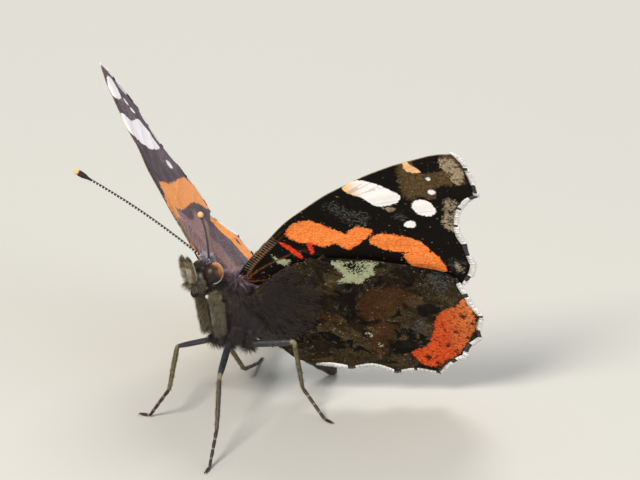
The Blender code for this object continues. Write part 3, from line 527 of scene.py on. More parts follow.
def markFields(kind, face, places):
    # what the scale materials read: depths inside a mark in millimetres, and weights from 0 to 1
    marks = {("fore", "under"): foreUnder, ("hind", "under"): hindUnder,
             ("fore", "upper"): foreUpper, ("hind", "upper"): hindUpper}[kind, face]
    fields = {key: depthInside(places, marks.get(key, ())) for key in ("orange", "crimson", "white", "pale", "ash")}
    fields["white"] = np.maximum(fields["white"], discDepth(places, marks.get("whiteDots", ())))
    fields["dark"] = np.maximum(discDepth(places, marks.get("dark", ())), discDepth(places, marks.get("dashes", ())))
    fields["dark"] = np.maximum(fields["dark"], depthInside(places, marks.get("ovals", ())))
    rings = np.minimum(discDepth(places, marks.get("rings", ())), -fields["white"] + 0.02)
    fields["dark"] = np.maximum(fields["dark"], rings - 0.05)
    fields["dustAndSheen"] = smoothStep(-0.6, 0.6, depthInside(places, marks.get("dustAndSheen", ())))
    fields["speckle"] = smoothStep(-0.3, 0.4, depthInside(places, marks.get("speckle", ())))
    fields["brown"] = smoothStep(-0.9, 0.9, depthInside(places, marks.get("brown", ())))
    fields["edges"] = smoothStep(-0.4, 0.4, discDepth(places, marks.get("edges", ())))
    fields["cream"] = smoothStep(15.2, 13.2, places[:, 0]) * smoothStep(10, 12, places[:, 1])
    fields["apex"] = np.zeros(len(places))
    fields["marble"] = np.full(len(places), float((kind, face) == ("hind", "under")))
    if "creamMark" in marks:
        creamMark = depthInside(places, marks["creamMark"])
        fields["cream"] = np.maximum(fields["cream"], smoothStep(-0.5, -0.2, creamMark))
        fields["white"] = np.maximum(fields["white"], creamMark)
        fields["apex"] = smoothStep(-0.5, 0.6, depthInside(places, marks["apex"]))
        fields["apex"] = np.maximum(fields["apex"], smoothStep(-0.2, 0.3, discDepth(places, marks["halo"])))
    if "bays" in marks:
        bays = smoothStep(-0.5, 0.2, depthInside(places, marks["bays"]))
        fields["apex"] = fields["apex"] * (1 - 0.85 * bays)
        fields["brown"] = fields["brown"] * (1 - bays)
    return fields


# Chitin scales, each about 0.1 mm: a soft, powdery velvet with a faint sheen along the surface.
# A pair of tones is mixed from scale to scale; the marbling takes a tone from its row for each blot.
scaleLooks = {
    "under": {
        "ground": ("#0a0706", "#120e0b"), "brown": ("#352010", "#503319"), "apex": ("#382a1a", "#6b5638"),
        "ash": ("#8a7a64", "#bfae94"), "pale": ("#929a7a", "#b2b798"), "dustAndSheen": ("#242625", "#575a57"),
        "orange": ("#f2692a", "#ffa455"), "crimson": ("#c02a14", "#ee4a2a"), "ember": ("#b8381a", "#e2612c"),
        "emberOuter": ("#b8552a", "#e08a4c"), "white": ("#fbf7f8", "#ffffff"), "cream": "#f5c48c",
        "marble": ((0.0, "#080604"), (0.25, "#0d0a06"), (0.4, "#241b10"), (0.55, "#35291a"), (0.68, "#120d08"),
                   (0.8, "#2b2315"), (0.9, "#433522"), (1.0, "#1a140c")), "blotScale": 0.62,
        "zigzag": "#77745c", "vein": ("#3a2210", "#7d4c22"), "overVein": "#7a3412", "blotch": ("#3a150a", "#7c2410"),
        "sheen": 0.02, "sheenHex": "#c9b8a8", "gloss": 0.07, "sparkle": 0.014,
    },
    "upper": {
        # upper side: the pinkish brown, the purple-grey patches and the purplish cast of the ground are partly
        # painted sheen, light grazing the brown-black scales; the brown base itself is real
        "ground": ("#120c0f", "#2a1f25"), "brown": ("#6a463e", "#b98c80"), "apex": ("#2b2717", "#5d5236"),
        "ash": ("#7c6c57", "#b9a78c"), "pale": ("#7f8a6c", "#a9ad92"), "dustAndSheen": ("#4e4044", "#7d6a70"),
        "orange": ("#f28222", "#ffb044"), "crimson": ("#c02a14", "#ee4a2a"), "ember": ("#e2561f", "#f98b35"),
        "emberOuter": ("#e2561f", "#f98b35"), "white": ("#f6f0f6", "#ffffff"), "cream": "#ffffff",
        "marble": ((0.0, "#120e0f"), (1.0, "#241b1c")), "blotScale": 0.62,
        "zigzag": "#241b1c", "vein": ("#3a2210", "#4d3327"), "overVein": "#6d3216", "blotch": ("#3a150a", "#7c2410"),
        "sheen": 0.26, "sheenHex": "#e2c6de", "gloss": 0.2, "sparkle": 0.02,
    },
}
scaleSize = {"across": 0.1, "along": 0.15, "bars": 0.36}  # the last is the leading edge's pale bars


def wingScales(name, look):
    finish, tree, shader = newFinish(name)
    plan = addNode(tree, "ShaderNodeAttribute", attribute_name="plan").outputs["Vector"]
    field = {key: addNode(tree, "ShaderNodeAttribute", attribute_name=key).outputs["Fac"]
             for key in ("white", "orange", "crimson", "dark", "pale", "ash", "dustAndSheen", "speckle", "brown", "edges",
                         "cream", "apex", "marble", "vein", "reach", "costaRun", "costaDepth")}
    rows = addNode(tree, "ShaderNodeVectorMath", {0: plan, 1: (1 / scaleSize["along"], 1 / scaleSize["across"], 1)},
                   operation="MULTIPLY")
    cells = addNode(tree, "ShaderNodeTexVoronoi", {"Scale": 1.0, "Vector": rows.outputs[0]}, voronoi_dimensions="2D")
    grain = addNode(tree, "ShaderNodeSeparateColor", {0: cells.outputs["Color"]}).outputs
    cloud = addNode(tree, "ShaderNodeTexNoise", {"Scale": 0.55, "Detail": 4.0, "Distortion": 0.8, "Vector": plan},
                    noise_dimensions="2D")
    finer = addNode(tree, "ShaderNodeTexNoise", {"Scale": 2.4, "Detail": 5.0, "Distortion": 0.4, "Vector": plan},
                    noise_dimensions="2D")
    fine = finer.outputs[0]

    def tones(channel, low, high):  # a pair of tones mixed from scale to scale
        return addNode(tree, "ShaderNodeMix", {0: grain[channel], 6: linear(low), 7: linear(high)},
                       data_type="RGBA").outputs[2]

    def laid(colour, *layers):  # a colour with others laid over it in turn, each by its cover
        for over, added in layers:
            colour = addNode(tree, "ShaderNodeMix", {0: over, 6: colour, 7: added}, data_type="RGBA").outputs[2]
        return colour

    def cover(*terms):
        # the product of its terms, each a weight or a ramp: a value, where it starts and ends, and its top
        product = None
        for term in terms:
            if isinstance(term, tuple):
                value, low, high, top = (*term, 1.0)[:4]
                term = addNode(tree, "ShaderNodeMapRange", {0: value, 1: low, 2: high, 4: top}).outputs[0]
            if product is not None:
                term = addNode(tree, "ShaderNodeMath", {0: product, 1: term}, operation="MULTIPLY").outputs[0]
            product = term
        return product

    def edge(key, soft, jitter, *more):  # a mark's cover, ragged by its scales and a little by the cloud
        ragged = field[key]
        for source, amount in ((grain[1], jitter), (fine, jitter * 1.6)):
            ragged = addNode(tree, "ShaderNodeMath", {0: source, 1: amount, 2: ragged},
                             operation="MULTIPLY_ADD").outputs[0]
        middle = 1.3 * jitter  # what the two add on average
        return cover((ragged, middle - soft, middle + soft), *more)

    def patch(key, strength, *more):  # cloudy cover from a soft weight
        raised = addNode(tree, "ShaderNodeMath", {0: fine, 1: 1.5, 2: field[key]}, operation="MULTIPLY_ADD")
        return cover((raised.outputs[0], 1.05, 1.55, strength), *more)

    # marbling: blots of tone, pushed out of shape by the clouds, with thin dark and pale outlines
    moved = plan
    for source, amount in ((cloud.outputs["Color"], 5.0), (finer.outputs["Color"], 0.8)):
        push = addNode(tree, "ShaderNodeVectorMath", {0: source, 1: (0.5, 0.5, 0.5)}, operation="SUBTRACT")
        push = addNode(tree, "ShaderNodeVectorMath", {0: push.outputs[0], "Scale": amount}, operation="SCALE")
        moved = addNode(tree, "ShaderNodeVectorMath", {0: moved, 1: push.outputs[0]}, operation="ADD").outputs[0]
    blots, outline = [
        addNode(tree, "ShaderNodeTexVoronoi", {"Scale": look["blotScale"], "Vector": moved},
                voronoi_dimensions="2D", feature=feature).outputs[output]
        for feature, output in (("F1", "Color"), ("DISTANCE_TO_EDGE", "Distance"))]
    pick = addNode(tree, "ShaderNodeSeparateColor", {0: blots}).outputs[0]
    ramp = addNode(tree, "ShaderNodeValToRGB", {0: pick})
    stops = ramp.color_ramp.elements
    for place, code in look["marble"][1:-1]:
        stops.new(place).color = linear(code)
    stops[0].color, stops[-1].color = linear(look["marble"][0][1]), linear(look["marble"][-1][1])
    inner = cover((outline, 0.0, 0.13), (fine, 0.25, 0.75, 1.1))
    tone = addNode(tree, "ShaderNodeMath", {0: grain[0], 1: 0.3, 2: inner}, operation="MULTIPLY_ADD").outputs[0]
    tone = addNode(tree, "ShaderNodeMapRange", {0: tone, 1: 0.0, 2: 1.0, 3: 0.35, 4: 1.7}).outputs[0]
    shade = addNode(tree, "ShaderNodeVectorMath", {0: ramp.outputs[0], "Scale": tone}, operation="SCALE").outputs[0]
    near = addNode(tree, "ShaderNodeMath", {0: outline, 1: 0.07}, operation="SUBTRACT").outputs[0]
    near = addNode(tree, "ShaderNodeMath", {0: near}, operation="ABSOLUTE").outputs[0]
    zigzag = cover((near, 0.03, 0.012), (cloud.outputs[0], 0.52, 0.6, 0.6), field["marble"], (grain[1], 0.1, 0.5))
    # single pale scales, and the pale mark with some of its scales missing
    lone = addNode(tree, "ShaderNodeMath", {0: grain[2], 1: look["sparkle"]}, operation="LESS_THAN").outputs[0]
    missing = addNode(tree, "ShaderNodeMath", {0: field["speckle"], 1: 0.62}, operation="MULTIPLY").outputs[0]
    left = addNode(tree, "ShaderNodeMath", {0: grain[1], 1: missing}, operation="GREATER_THAN").outputs[0]
    # the bands: orange with a red fringe in places; on the hindwing embers, darker and blotched
    band = laid(tones(0, *look["orange"]),
                (cover((field["orange"], 0.3, 0.0, 0.8), field["edges"], grain[2]), tones(0, *look["crimson"])))
    out = addNode(tree, "ShaderNodeSeparateXYZ", {0: plan}).outputs[0]
    ember = laid(tones(0, *look["ember"]),
                 (cover((out, 19.0, 22.0)), tones(0, *look["emberOuter"])),
                 (cover((fine, 0.5, 0.42), (grain[1], 0.3, 0.7, 0.75)), tones(0, *look["blotch"])))
    whites = laid(tones(0, *look["white"]), (field["cream"], linear(look["cream"])))
    onOrange, onWhite = edge("orange", 0.05, 0.2), edge("white", 0.04, 0.12)
    bright = addNode(tree, "ShaderNodeMath", {0: onOrange, 1: onWhite}, operation="MAXIMUM").outputs[0]
    # pale bars across the leading edge near the root, and a painted highlight along it: a bright rim standing for
    # light caught by the edge
    run, depth = field["costaRun"], field["costaDepth"]
    turns = addNode(tree, "ShaderNodeMath", {0: run, 1: 2 * math.pi / scaleSize["bars"]}, operation="MULTIPLY")
    bars = addNode(tree, "ShaderNodeMath", {0: turns.outputs[0]}, operation="SINE").outputs[0]
    bars = cover((bars, 0.2, 0.8), (depth, 0.95, 0.75), (depth, 0.05, 0.15), (run, 7.6, 6.8), (run, 1.2, 2.0, 0.42))
    colour = laid(
        tones(0, *look["ground"]),
        (field["marble"], shade),
        # brown at the base; on the upper side its pinkish tone is partly painted sheen
        (patch("brown", 0.8), tones(1, *look["brown"])),
        (patch("apex", 0.95), tones(1, *look["apex"])),
        (zigzag, linear(look["zigzag"])),
        # on the underside real grey scaling; on the upper side painted sheen, a purple-grey haze
        (patch("dustAndSheen", 1.0, (grain[2], 0.35, 0.75)), tones(1, *look["dustAndSheen"])),
        (cover(lone, (fine, 0.45, 0.6, 0.55)), tones(1, *look["ash"])),
        (edge("ash", 0.15, 0.3, (fine, 0.3, 0.52, 0.85)), tones(1, *look["ash"])),
        (edge("pale", 0.05, 0.3, left), tones(0, *look["pale"])),
        (onOrange, laid(band, (field["marble"], ember))),
        (edge("crimson", 0.06, 0.15), tones(1, *look["crimson"])),
        (onWhite, whites),
        (edge("dark", 0.1, 0.2, 0.9), tones(0, *look["ground"])),
        # veins: thin and rusty over the bright marks, tan near the root
        (cover((field["vein"], 0.055, 0.02, 0.3), bright), linear(look["overVein"])),
        (cover((field["vein"], 0.14, 0.07), (field["reach"], 10.5, 5.5, 0.9)), tones(0, *look["vein"])),
        (bars, tones(1, *look["ash"])),
        # painted highlight: a bright rim along the leading edge
        (cover((depth, 0.07, 0.03, 0.45), (run, 2.0, 3.0)), tones(0, *look["ash"])))
    tree.links.new(colour, shader.inputs["Base Color"])
    shader.inputs["Roughness"].default_value = 0.68
    shader.inputs["Specular IOR Level"].default_value = look["gloss"]
    shader.inputs["Sheen Weight"].default_value = look["sheen"]
    shader.inputs["Sheen Roughness"].default_value = 0.35
    shader.inputs["Sheen Tint"].default_value = linear(look["sheenHex"])
    raised = addNode(tree, "ShaderNodeMath", {0: grain[0], 1: 0.6}, operation="MULTIPLY").outputs[0]
    height = addNode(tree, "ShaderNodeMath", {0: raised, 1: cells.outputs["Distance"]}, operation="SUBTRACT")
    bump = addNode(tree, "ShaderNodeBump", {"Strength": 0.35, "Distance": 0.00003, "Height": height.outputs[0]})
    tree.links.new(bump.outputs[0], shader.inputs["Normal"])
    return finish


underScales = wingScales("powdery wing scales underside", scaleLooks["under"])
upperScales = wingScales("powdery wing scales upper side", scaleLooks["upper"])
wingPlans = {"fore": forePlan, "hind": hindPlan}


def makeWing(kind, side, flat, triangles, outline, costa, lines):
    plan = wingPlans[kind]
    reach = np.hypot(flat[:, 0], flat[:, 1])
    vein = np.min([lineDistance(flat, line) for line in lines], axis=0)
    rim = lineDistance(flat, outline, closed=True)
    ridge = wingPose["veinHeight"] * np.clip(1 - (vein / wingPose["veinWidth"]) ** 2, 0, 1)
    ridge = ridge * np.clip(1.15 - reach / 32, 0.3, 1)
    thick = wingPose["thickness"] * (0.45 + 0.55 * smoothStep(0, 0.5, rim))
    extra = wingPose["rootThickness"] - wingPose["thickness"]
    thick = thick + extra * np.clip(1 - reach / wingPose["rootFade"], 0, 1)
    sag = wingPose["pleat"] * smoothStep(0, 0.9, vein) * smoothStep(0.5, 5, reach)
    wave = 0.05 * waviness(flat, 5 if kind == "fore" else 8) * smoothStep(2, 8, reach)
    middle = droopAt(plan, flat, side) - sag + wave
    top = np.column_stack([flat[:, 0], -flat[:, 1], middle + thick / 2 + ridge])
    bottom = np.column_stack([flat[:, 0], -flat[:, 1], middle - thick / 2 - ridge])
    count = len(flat)
    faces = [tuple(t) for t in triangles]
    uses = {}
    for a, b, c in triangles:
        for start, end in ((a, b), (b, c), (c, a)):
            if (end, start) in uses:
                del uses[end, start]
            else:
                uses[start, end] = True
    under = [(c + count, b + count, a + count) for a, b, c in triangles]
    wall = [(b, a, a + count, b + count) for a, b in uses]
    everything = faces + under + wall
    if side == "right":
        everything = [face[::-1] for face in everything]
    # the plan is turned over when fore becomes -y, so the triangles already face the right way round
    everything = [face[::-1] for face in everything]
    mesh = makeMesh(f"wing_{kind}_{side}", wingToRow(np.vstack([top, bottom]), side), everything)
    slots = np.array([0] * len(faces) + [1] * (len(under) + len(wall)), np.int32)
    mesh.polygons.foreach_set("material_index", slots)
    both = [markFields(kind, face, flat) for face in ("upper", "under")]
    for key in both[0]:
        setAttribute(mesh, key, "FLOAT", np.concatenate([fields[key] for fields in both]))
    costaSteps = np.concatenate([[0], np.cumsum(np.linalg.norm(np.diff(costa, axis=0), axis=1))])
    nearest = np.argmin(np.linalg.norm(flat[:, None] - costa[None], axis=2), axis=1)
    tangent = unit(np.gradient(costa, axis=0))[nearest]
    run = costaSteps[nearest] + ((flat - costa[nearest]) * tangent).sum(axis=1)
    depth = lineDistance(flat, costa) if kind == "fore" else np.full(len(flat), 9.0)
    # only the forewing's veins are tan near the root, so the hindwing counts as far from it
    shared = {"vein": vein, "reach": reach if kind == "fore" else reach + 20, "costaRun": run, "costaDepth": depth}
    for key, values in shared.items():
        setAttribute(mesh, key, "FLOAT", np.concatenate([values, values]))
    setAttribute(mesh, "plan", "FLOAT_VECTOR", np.tile(np.column_stack([flat, np.zeros(count)]), (2, 1)))
    return makePiece(f"wing_{kind}_{side}", mesh, [upperScales, underScales], [f"{kind}wing_{side}"])


for kind in ("fore", "hind"):
    parts = planMesh(wingPlans[kind])
    for side in ("left", "right"):
        wing = makeWing(kind, side, *parts)
    print(kind, "wings made,", len(wing.data.polygons), "faces each")


# Tufts: one Geometry Nodes tree sets a small closed shape on each root, by its own lie and length

def tuftShape(name, profile, bend, thickness):
    # a three-sided blade: height and half width pairs, bowed towards -x
    points = []
    for z, half in profile[:-1]:
        x = -bend * z * z
        points += [(x, -half, z), (x, half, z), (x + thickness * half, 0, z)]
    tip = profile[-1][0]
    points.append((-bend * tip * tip, 0, tip))
    faces = [(2, 1, 0)]
    last = len(profile) - 2
    for ring in range(last):
        a, b = ring * 3, ring * 3 + 3
        faces += [(a + s, a + (s + 1) % 3, b + (s + 1) % 3, b + s) for s in range(3)]
    faces += [(last * 3 + s, last * 3 + (s + 1) % 3, last * 3 + 3) for s in range(3)]
    mesh = makeMesh(name, points, faces)
    along = np.array([p[2] for p in points])
    across = np.array([p[1] for p in points])
    setAttribute(mesh, "along", "FLOAT", along)
    setAttribute(mesh, "patch", "FLOAT_VECTOR", np.column_stack([0.5 + across, along, along * 0]))
    thing = bpy.data.objects.new(name, mesh)
    bpy.context.scene.collection.objects.link(thing)
    return thing


def tuftTree():
    tree = bpy.data.node_groups.new("tufts on roots", "GeometryNodeTree")
    face = tree.interface
    face.new_socket("Geometry", in_out="OUTPUT", socket_type="NodeSocketGeometry")
    sockets = {}
    for name, kind in (("Roots", "NodeSocketGeometry"), ("Tuft", "NodeSocketObject"), ("Width", "NodeSocketFloat"),
                       ("Width spread", "NodeSocketFloat"), ("Patch size", "NodeSocketFloat"),
                       ("Seed", "NodeSocketInt"), ("Finish", "NodeSocketMaterial")):
        sockets[name] = face.new_socket(name, in_out="INPUT", socket_type=kind).identifier
    inputs = addNode(tree, "NodeGroupInput").outputs
    shape = addNode(tree, "GeometryNodeObjectInfo", {"Object": inputs["Tuft"]})
    lie, rise, place, patch = [
        addNode(tree, "GeometryNodeInputNamedAttribute", {"Name": name}, data_type="FLOAT_VECTOR").outputs[0]
        for name in ("lie", "rise", "place", "patch")]
    size = addNode(tree, "GeometryNodeInputNamedAttribute", {"Name": "size"}, data_type="FLOAT").outputs[0]
    low = addNode(tree, "ShaderNodeMath", {0: 1.0, 1: inputs["Width spread"]}, operation="SUBTRACT")
    high = addNode(tree, "ShaderNodeMath", {0: 1.0, 1: inputs["Width spread"]}, operation="ADD")
    random = addNode(tree, "FunctionNodeRandomValue", data_type="FLOAT",
                     inputs={2: low.outputs[0], 3: high.outputs[0], "Seed": inputs["Seed"]})
    width = addNode(tree, "ShaderNodeMath", {0: inputs["Width"], 1: random.outputs[1]}, operation="MULTIPLY")
    scale = addNode(tree, "ShaderNodeCombineXYZ", {0: width.outputs[0], 1: width.outputs[0], 2: size})
    along = addNode(tree, "FunctionNodeAlignRotationToVector", {"Vector": lie}, axis="Z")
    turn = addNode(tree, "FunctionNodeAlignRotationToVector", {"Rotation": along.outputs[0], "Vector": rise},
                   axis="X", pivot_axis="Z")
    copies = addNode(tree, "GeometryNodeInstanceOnPoints", {
        "Points": inputs["Roots"], "Instance": shape.outputs["Geometry"], "Rotation": turn.outputs[0],
        "Scale": scale.outputs[0]})
    real = addNode(tree, "GeometryNodeRealizeInstances", {0: copies.outputs[0]})
    offset = addNode(tree, "ShaderNodeVectorMath", {0: patch, "Scale": inputs["Patch size"]}, operation="SCALE")
    spot = addNode(tree, "ShaderNodeVectorMath", {0: place, 1: offset.outputs[0]}, operation="ADD")
    stored = addNode(tree, "GeometryNodeStoreNamedAttribute", {"Name": "OFBake", "Geometry": real.outputs[0],
                                                               "Value": spot.outputs[0]},
                     data_type="FLOAT2", domain="CORNER")
    finished = addNode(tree, "GeometryNodeSetMaterial", {
        "Geometry": stored.outputs[0], "Material": inputs["Finish"]})
    addNode(tree, "NodeGroupOutput", {0: finished.outputs[0]})
    return tree, sockets


tuftsOnRoots, tuftSockets = tuftTree()
tuftShapes = {
    "hair": tuftShape("hair tuft", ((0.0, 0.5), (0.35, 0.45), (0.7, 0.28), (1.0, 0.0)), 0.22, 0.9),
    "short": tuftShape("short hair tuft", ((0.0, 0.5), (0.55, 0.36), (1.0, 0.0)), 0.16, 0.7),
    "blade": tuftShape("fringe blade", ((0.0, 0.3), (0.5, 0.5), (0.85, 0.5), (1.0, 0.0)), 0.04, 0.35),
    "spine": tuftShape("leg spine", ((0.0, 0.5), (0.5, 0.35), (1.0, 0.0)), 0.1, 1.2),
}


def makeTufts(name, roots, shape, width, finish, seed, spread=0.25):
    # roots: row places in metres, lie and rise directions, size in metres, tint, place on the unwrap
    mesh = bpy.data.meshes.new(name + " roots")
    mesh.from_pydata([tuple(p) for p in roots["at"]], [], [])
    for key in ("lie", "rise", "place"):
        setAttribute(mesh, key, "FLOAT_VECTOR", roots[key])
    setAttribute(mesh, "size", "FLOAT", roots["size"])
    setAttribute(mesh, "tint", "FLOAT_COLOR", roots["tint"])
    holder = bpy.data.objects.new(name + " roots", mesh)
    bpy.context.scene.collection.objects.link(holder)
    nodes = holder.modifiers.new("tufts", "NODES")
    nodes.node_group = tuftsOnRoots
    for key, value in (("Tuft", tuftShapes[shape]), ("Width", width * mm), ("Width spread", spread),
                       ("Patch size", 0.003), ("Seed", seed), ("Finish", finish)):
        nodes[tuftSockets[key]] = value
    result = evaluatedMesh(holder)
    result.name = name
    holder.modifiers.clear()
    bpy.data.objects.remove(holder)
    for key in ("lie", "rise", "place", "patch", "size"):
        if key in result.attributes:
            result.attributes.remove(result.attributes[key])
    thing = makePiece(name, result, [])
    print(name, len(result.polygons), "faces")
    return thing


def tuftFinish(name, roughness, sheen, sheenHex, tipLift, rootShade):
    # keratin-like chitin hair: its own tint, a little darker at the root and paler at the tip
    finish, tree, shader = newFinish(name)
    tint = addNode(tree, "ShaderNodeAttribute", attribute_name="tint").outputs["Color"]
    along = addNode(tree, "ShaderNodeAttribute", attribute_name="along").outputs["Fac"]
    where = addNode(tree, "ShaderNodeTexCoord").outputs["Object"]
    noise = addNode(tree, "ShaderNodeTexNoise", {"Scale": 9000.0, "Detail": 2.0, "Vector": where}).outputs[0]
    lift = addNode(tree, "ShaderNodeMapRange", {0: along, 1: 0.0, 2: 1.0, 3: rootShade, 4: tipLift}).outputs[0]
    vary = addNode(tree, "ShaderNodeMapRange", {0: noise, 1: 0.3, 2: 0.7, 3: 0.85, 4: 1.15}).outputs[0]
    gain = addNode(tree, "ShaderNodeMath", {0: lift, 1: vary}, operation="MULTIPLY").outputs[0]
    colour = addNode(tree, "ShaderNodeVectorMath", {0: tint, "Scale": gain}, operation="SCALE").outputs[0]
    tree.links.new(colour, shader.inputs["Base Color"])
    shader.inputs["Roughness"].default_value = roughness
    shader.inputs["Sheen Weight"].default_value = sheen
    shader.inputs["Sheen Tint"].default_value = linear(sheenHex)
    return finish


fringeFinish = tuftFinish("fringe of long wing scales", 0.6, 0.1, "#ffffff", 1.0, 0.9)
hairFinish = tuftFinish("silky body hair", 0.5, 0.2, "#cfc4d6", 1.2, 0.45)
spineFinish = tuftFinish("horny leg spines", 0.45, 0.0, "#ffffff", 1.0, 0.8)


fringeLook = {"step": 0.05, "width": 0.12, "white": "#ffffff", "dark": "#1a1513", "layers": 3}


def makeFringe(kind, side):
    plan = wingPlans[kind]
    rng = np.random.default_rng(41 if kind == "fore" else 43)
    places, outward, white = marginLine(plan, fringeLook["step"])
    at, lies, sizes, tints = [], [], [], []
    total = len(places)
    share = np.arange(total) * fringeLook["step"]
    fade = smoothStep(0, 1.1, share) * smoothStep(0, 1.1, share[::-1])
    height = droopAt(plan, places, side)
    for layer in range(fringeLook["layers"]):
        jitter = rng.uniform(-0.5, 0.5, (total, 3))
        length = (wingPose["fringe"] * (0.35 + 0.65 * fade) + 0.12 * jitter[:, 0] + 0.12) * (0.72 + 0.28 * white)
        root = places - outward * ((wingPose["fringe"] - wingPose["overhang"]) * fade + 0.06)[:, None]
        lift = (layer - 1) * 0.035 + 0.02 * jitter[:, 1]
        at.append(np.column_stack([root[:, 0], -root[:, 1], height + lift]))
        side2 = np.column_stack([-outward[:, 1], outward[:, 0]]) * (jitter[:, 2] * 0.25)[:, None]
        lie = outward + side2
        lies.append(np.column_stack([lie[:, 0], -lie[:, 1], 0.08 * jitter[:, 1]]))
        sizes.append(length)
        shade = np.where(white[:, None] > 0.5, linear(fringeLook["white"]), linear(fringeLook["dark"]))
        tints.append(shade * rng.uniform(0.93, 1.0, (total, 1)))
    at, lies = np.vstack(at), unit(np.vstack(lies))
    start = wingToRow(at, side)
    lieRow = unit(wingToRow(at + lies, side) - start)
    riseRow = unit(wingToRow(at + (0, 0, 1), side) - start)
    column = np.linspace(0.02, 0.97, len(at))
    place = np.column_stack([column, (np.arange(len(at)) % 40) / 42 + 0.01, column * 0])
    roots = {"at": start, "lie": lieRow, "rise": riseRow, "size": np.concatenate(sizes) * mm,
             "tint": np.vstack(tints), "place": place}
    makeTufts(f"fringe_{kind}_{side}", roots, "blade", fringeLook["width"], fringeFinish, 3)


for kind in ("fore", "hind"):
    for side in ("left", "right"):
        makeFringe(kind, side)


# The body: one skin for head, thorax, abdomen, palps, forelegs and hips

bodyPlan = {
    "thorax": ((-2.3, 1.5, 0.5, 0.6), (-1.75, 1.45, 0.72, 0.7), (-1.2, 1.35, 1.1, 1.0), (-0.5, 1.1, 1.55, 1.3),
               (0.5, 0.5, 1.93, 1.9), (1.7, -0.05, 2.03, 2.45), (3.0, -0.4, 1.88, 2.55), (4.2, -0.45, 1.5, 2.08),
               (5.0, -0.1, 1.2, 1.45), (5.6, 0.0, 1.05, 1.15)),
    "abdomenStart": 5.6, "abdomenLength": 11.0, "abdomenHeight": 0.0, "tipRadius": 0.45, "widest": 1.75,
    "segments": 8, "segmentStep": 0.06, "coatDepth": 0.18,
    "headCentre": (0.0, -2.95, 1.75), "headHalf": (0.95, 0.93, 1.1),
    "eyeCentre": (0.92, -2.75, 1.8), "eyeHalf": (1.0, 1.02, 1.08),
    "palp": ((0.3, -3.2, 0.7), (0.45, -3.9, 0.3), (0.52, -4.5, 0.75), (0.52, -5.05, 1.3), (0.5, -5.5, 1.75),
             (0.48, -5.85, 2.1)),
    "palpRadii": (0.25, 0.28, 0.3, 0.3, 0.24, 0.13),
    "foreleg": ((0.93, -0.5, 0.45), (1.12, -1.3, 0.0), (1.17, -1.35, -0.45), (1.2, -0.8, -1.1), (1.15, -0.15, -2.0),
                (1.12, 0.4, -2.65), (1.1, 0.75, -3.0)),
    "forelegRadii": (0.3, 0.32, 0.3, 0.32, 0.3, 0.24, 0.12),
    "antennaFoot": (0.45, -3.4, 3.05), "voxel": 0.11,
    "shoulder": {"start": (0.9, 0.3, 1.3), "radii": (0.7, 0.62, 0.5, 0.36)},
}
legPlans = {
    "mid_left": ((1.1, 2.1, -2.0), (1.4, 1.85, -3.45), (4.87, -0.46, -7.51), (7.09, -0.21, -12.4), (10.9, -10.7)),
    "mid_right": ((-1.1, 2.3, -2.0), (-1.3, 2.2, -3.6), (-6.19, 2.08, -5.29), (-3.55, 0.99, -9.73), (-6.0, -6.8)),
    "hind_left": ((1.2, 3.4, -1.6), (1.8, 3.8, -3.05), (6.29, 5.46, -1.45), (5.37, 9.27, -5.06), (10.2, 4.6)),
    "hind_right": ((-1.2, 3.4, -1.6), (-1.8, 3.8, -3.05), (-6.0, 5.6, -2.0), (-5.5, 10.4, -4.6), (-8.4, 9.4)),
}


def ringOf(centre, across, rise, radius, sides):
    angles = np.arange(sides) * 2 * math.pi / sides
    return centre + radius * (np.cos(angles)[:, None] * across + np.sin(angles)[:, None] * rise)


def limb(path, radii, sides):
    # a closed round limb along a path, its rings carried along without twisting
    path = np.array(path, float)
    steps = unit(np.gradient(path, axis=0))
    across = np.cross(steps[0], (0, 0, 1.0))
    if np.linalg.norm(across) < 0.1:
        across = np.cross(steps[0], (0, 1.0, 0))
    points = []
    for centre, step, radius in zip(path, steps, radii):
        across = unit(across - step * (across @ step))
        points.append(ringOf(centre, across, np.cross(across, step), radius, sides))
    return closeRings(points)


def closeRings(rings):
    sides = len(rings[0])
    points = np.vstack(rings)
    faces = [tuple(range(sides))]
    for r in range(len(rings) - 1):
        a, b = r * sides, (r + 1) * sides
        faces += [(a + s, b + s, b + (s + 1) % sides, a + (s + 1) % sides) for s in range(sides)]
    last = (len(rings) - 1) * sides
    faces.append(tuple(last + s for s in reversed(range(sides))))
    return points, faces


def joined(parts):
    points, faces, offset = [], [], 0
    for found, made in parts:
        points.append(found)
        faces += [tuple(v + offset for v in face) for face in made]
        offset += len(found)
    return np.vstack(points), faces


def outwardMesh(name, points, faces):  # a joined mesh with all its normals turned outwards
    mesh = makeMesh(name, points, faces)
    shape = bmesh.new()
    shape.from_mesh(mesh)
    bmesh.ops.recalc_face_normals(shape, faces=shape.faces[:])
    shape.to_mesh(mesh)
    shape.free()
    mesh.polygons.foreach_set("use_smooth", np.ones(len(mesh.polygons), bool))
    return mesh


def ball(centre, half, rings=24, sides=32):
    rows = []
    for r in range(1, rings):
        angle = math.pi * r / rings
        turn = np.arange(sides) * 2 * math.pi / sides
        rows.append(np.column_stack([
            centre[0] - half[0] * math.cos(angle) * np.ones(sides),
            centre[1] + half[1] * math.sin(angle) * np.cos(turn),
            centre[2] + half[2] * math.sin(angle) * np.sin(turn)]))
    return closeRings(rows)


def abdomenMiddle(t):
    plan = bodyPlan
    end = plan["abdomenStart"] + plan["abdomenLength"]
    wanted = plan["tipRadius"] * 0.72
    endHeight = (wanted - stance["centre"][2] - bodyTurn[2][1] * end) / bodyTurn[2][2]
    y = plan["abdomenStart"] + plan["abdomenLength"] * t
    return np.array([0.0, y, plan["abdomenHeight"] + (endHeight - plan["abdomenHeight"]) * t**2.4])


def abdomenRadius(t):
    swell = math.sin(math.pi * min(1.0, (t + 0.32) / 1.34)) ** 0.8
    return bodyPlan["tipRadius"] + (bodyPlan["widest"] - bodyPlan["tipRadius"]) * swell


def mirrored(points, side):
    return np.array(points, float) * (-1 if side == "right" else 1, 1, 1)


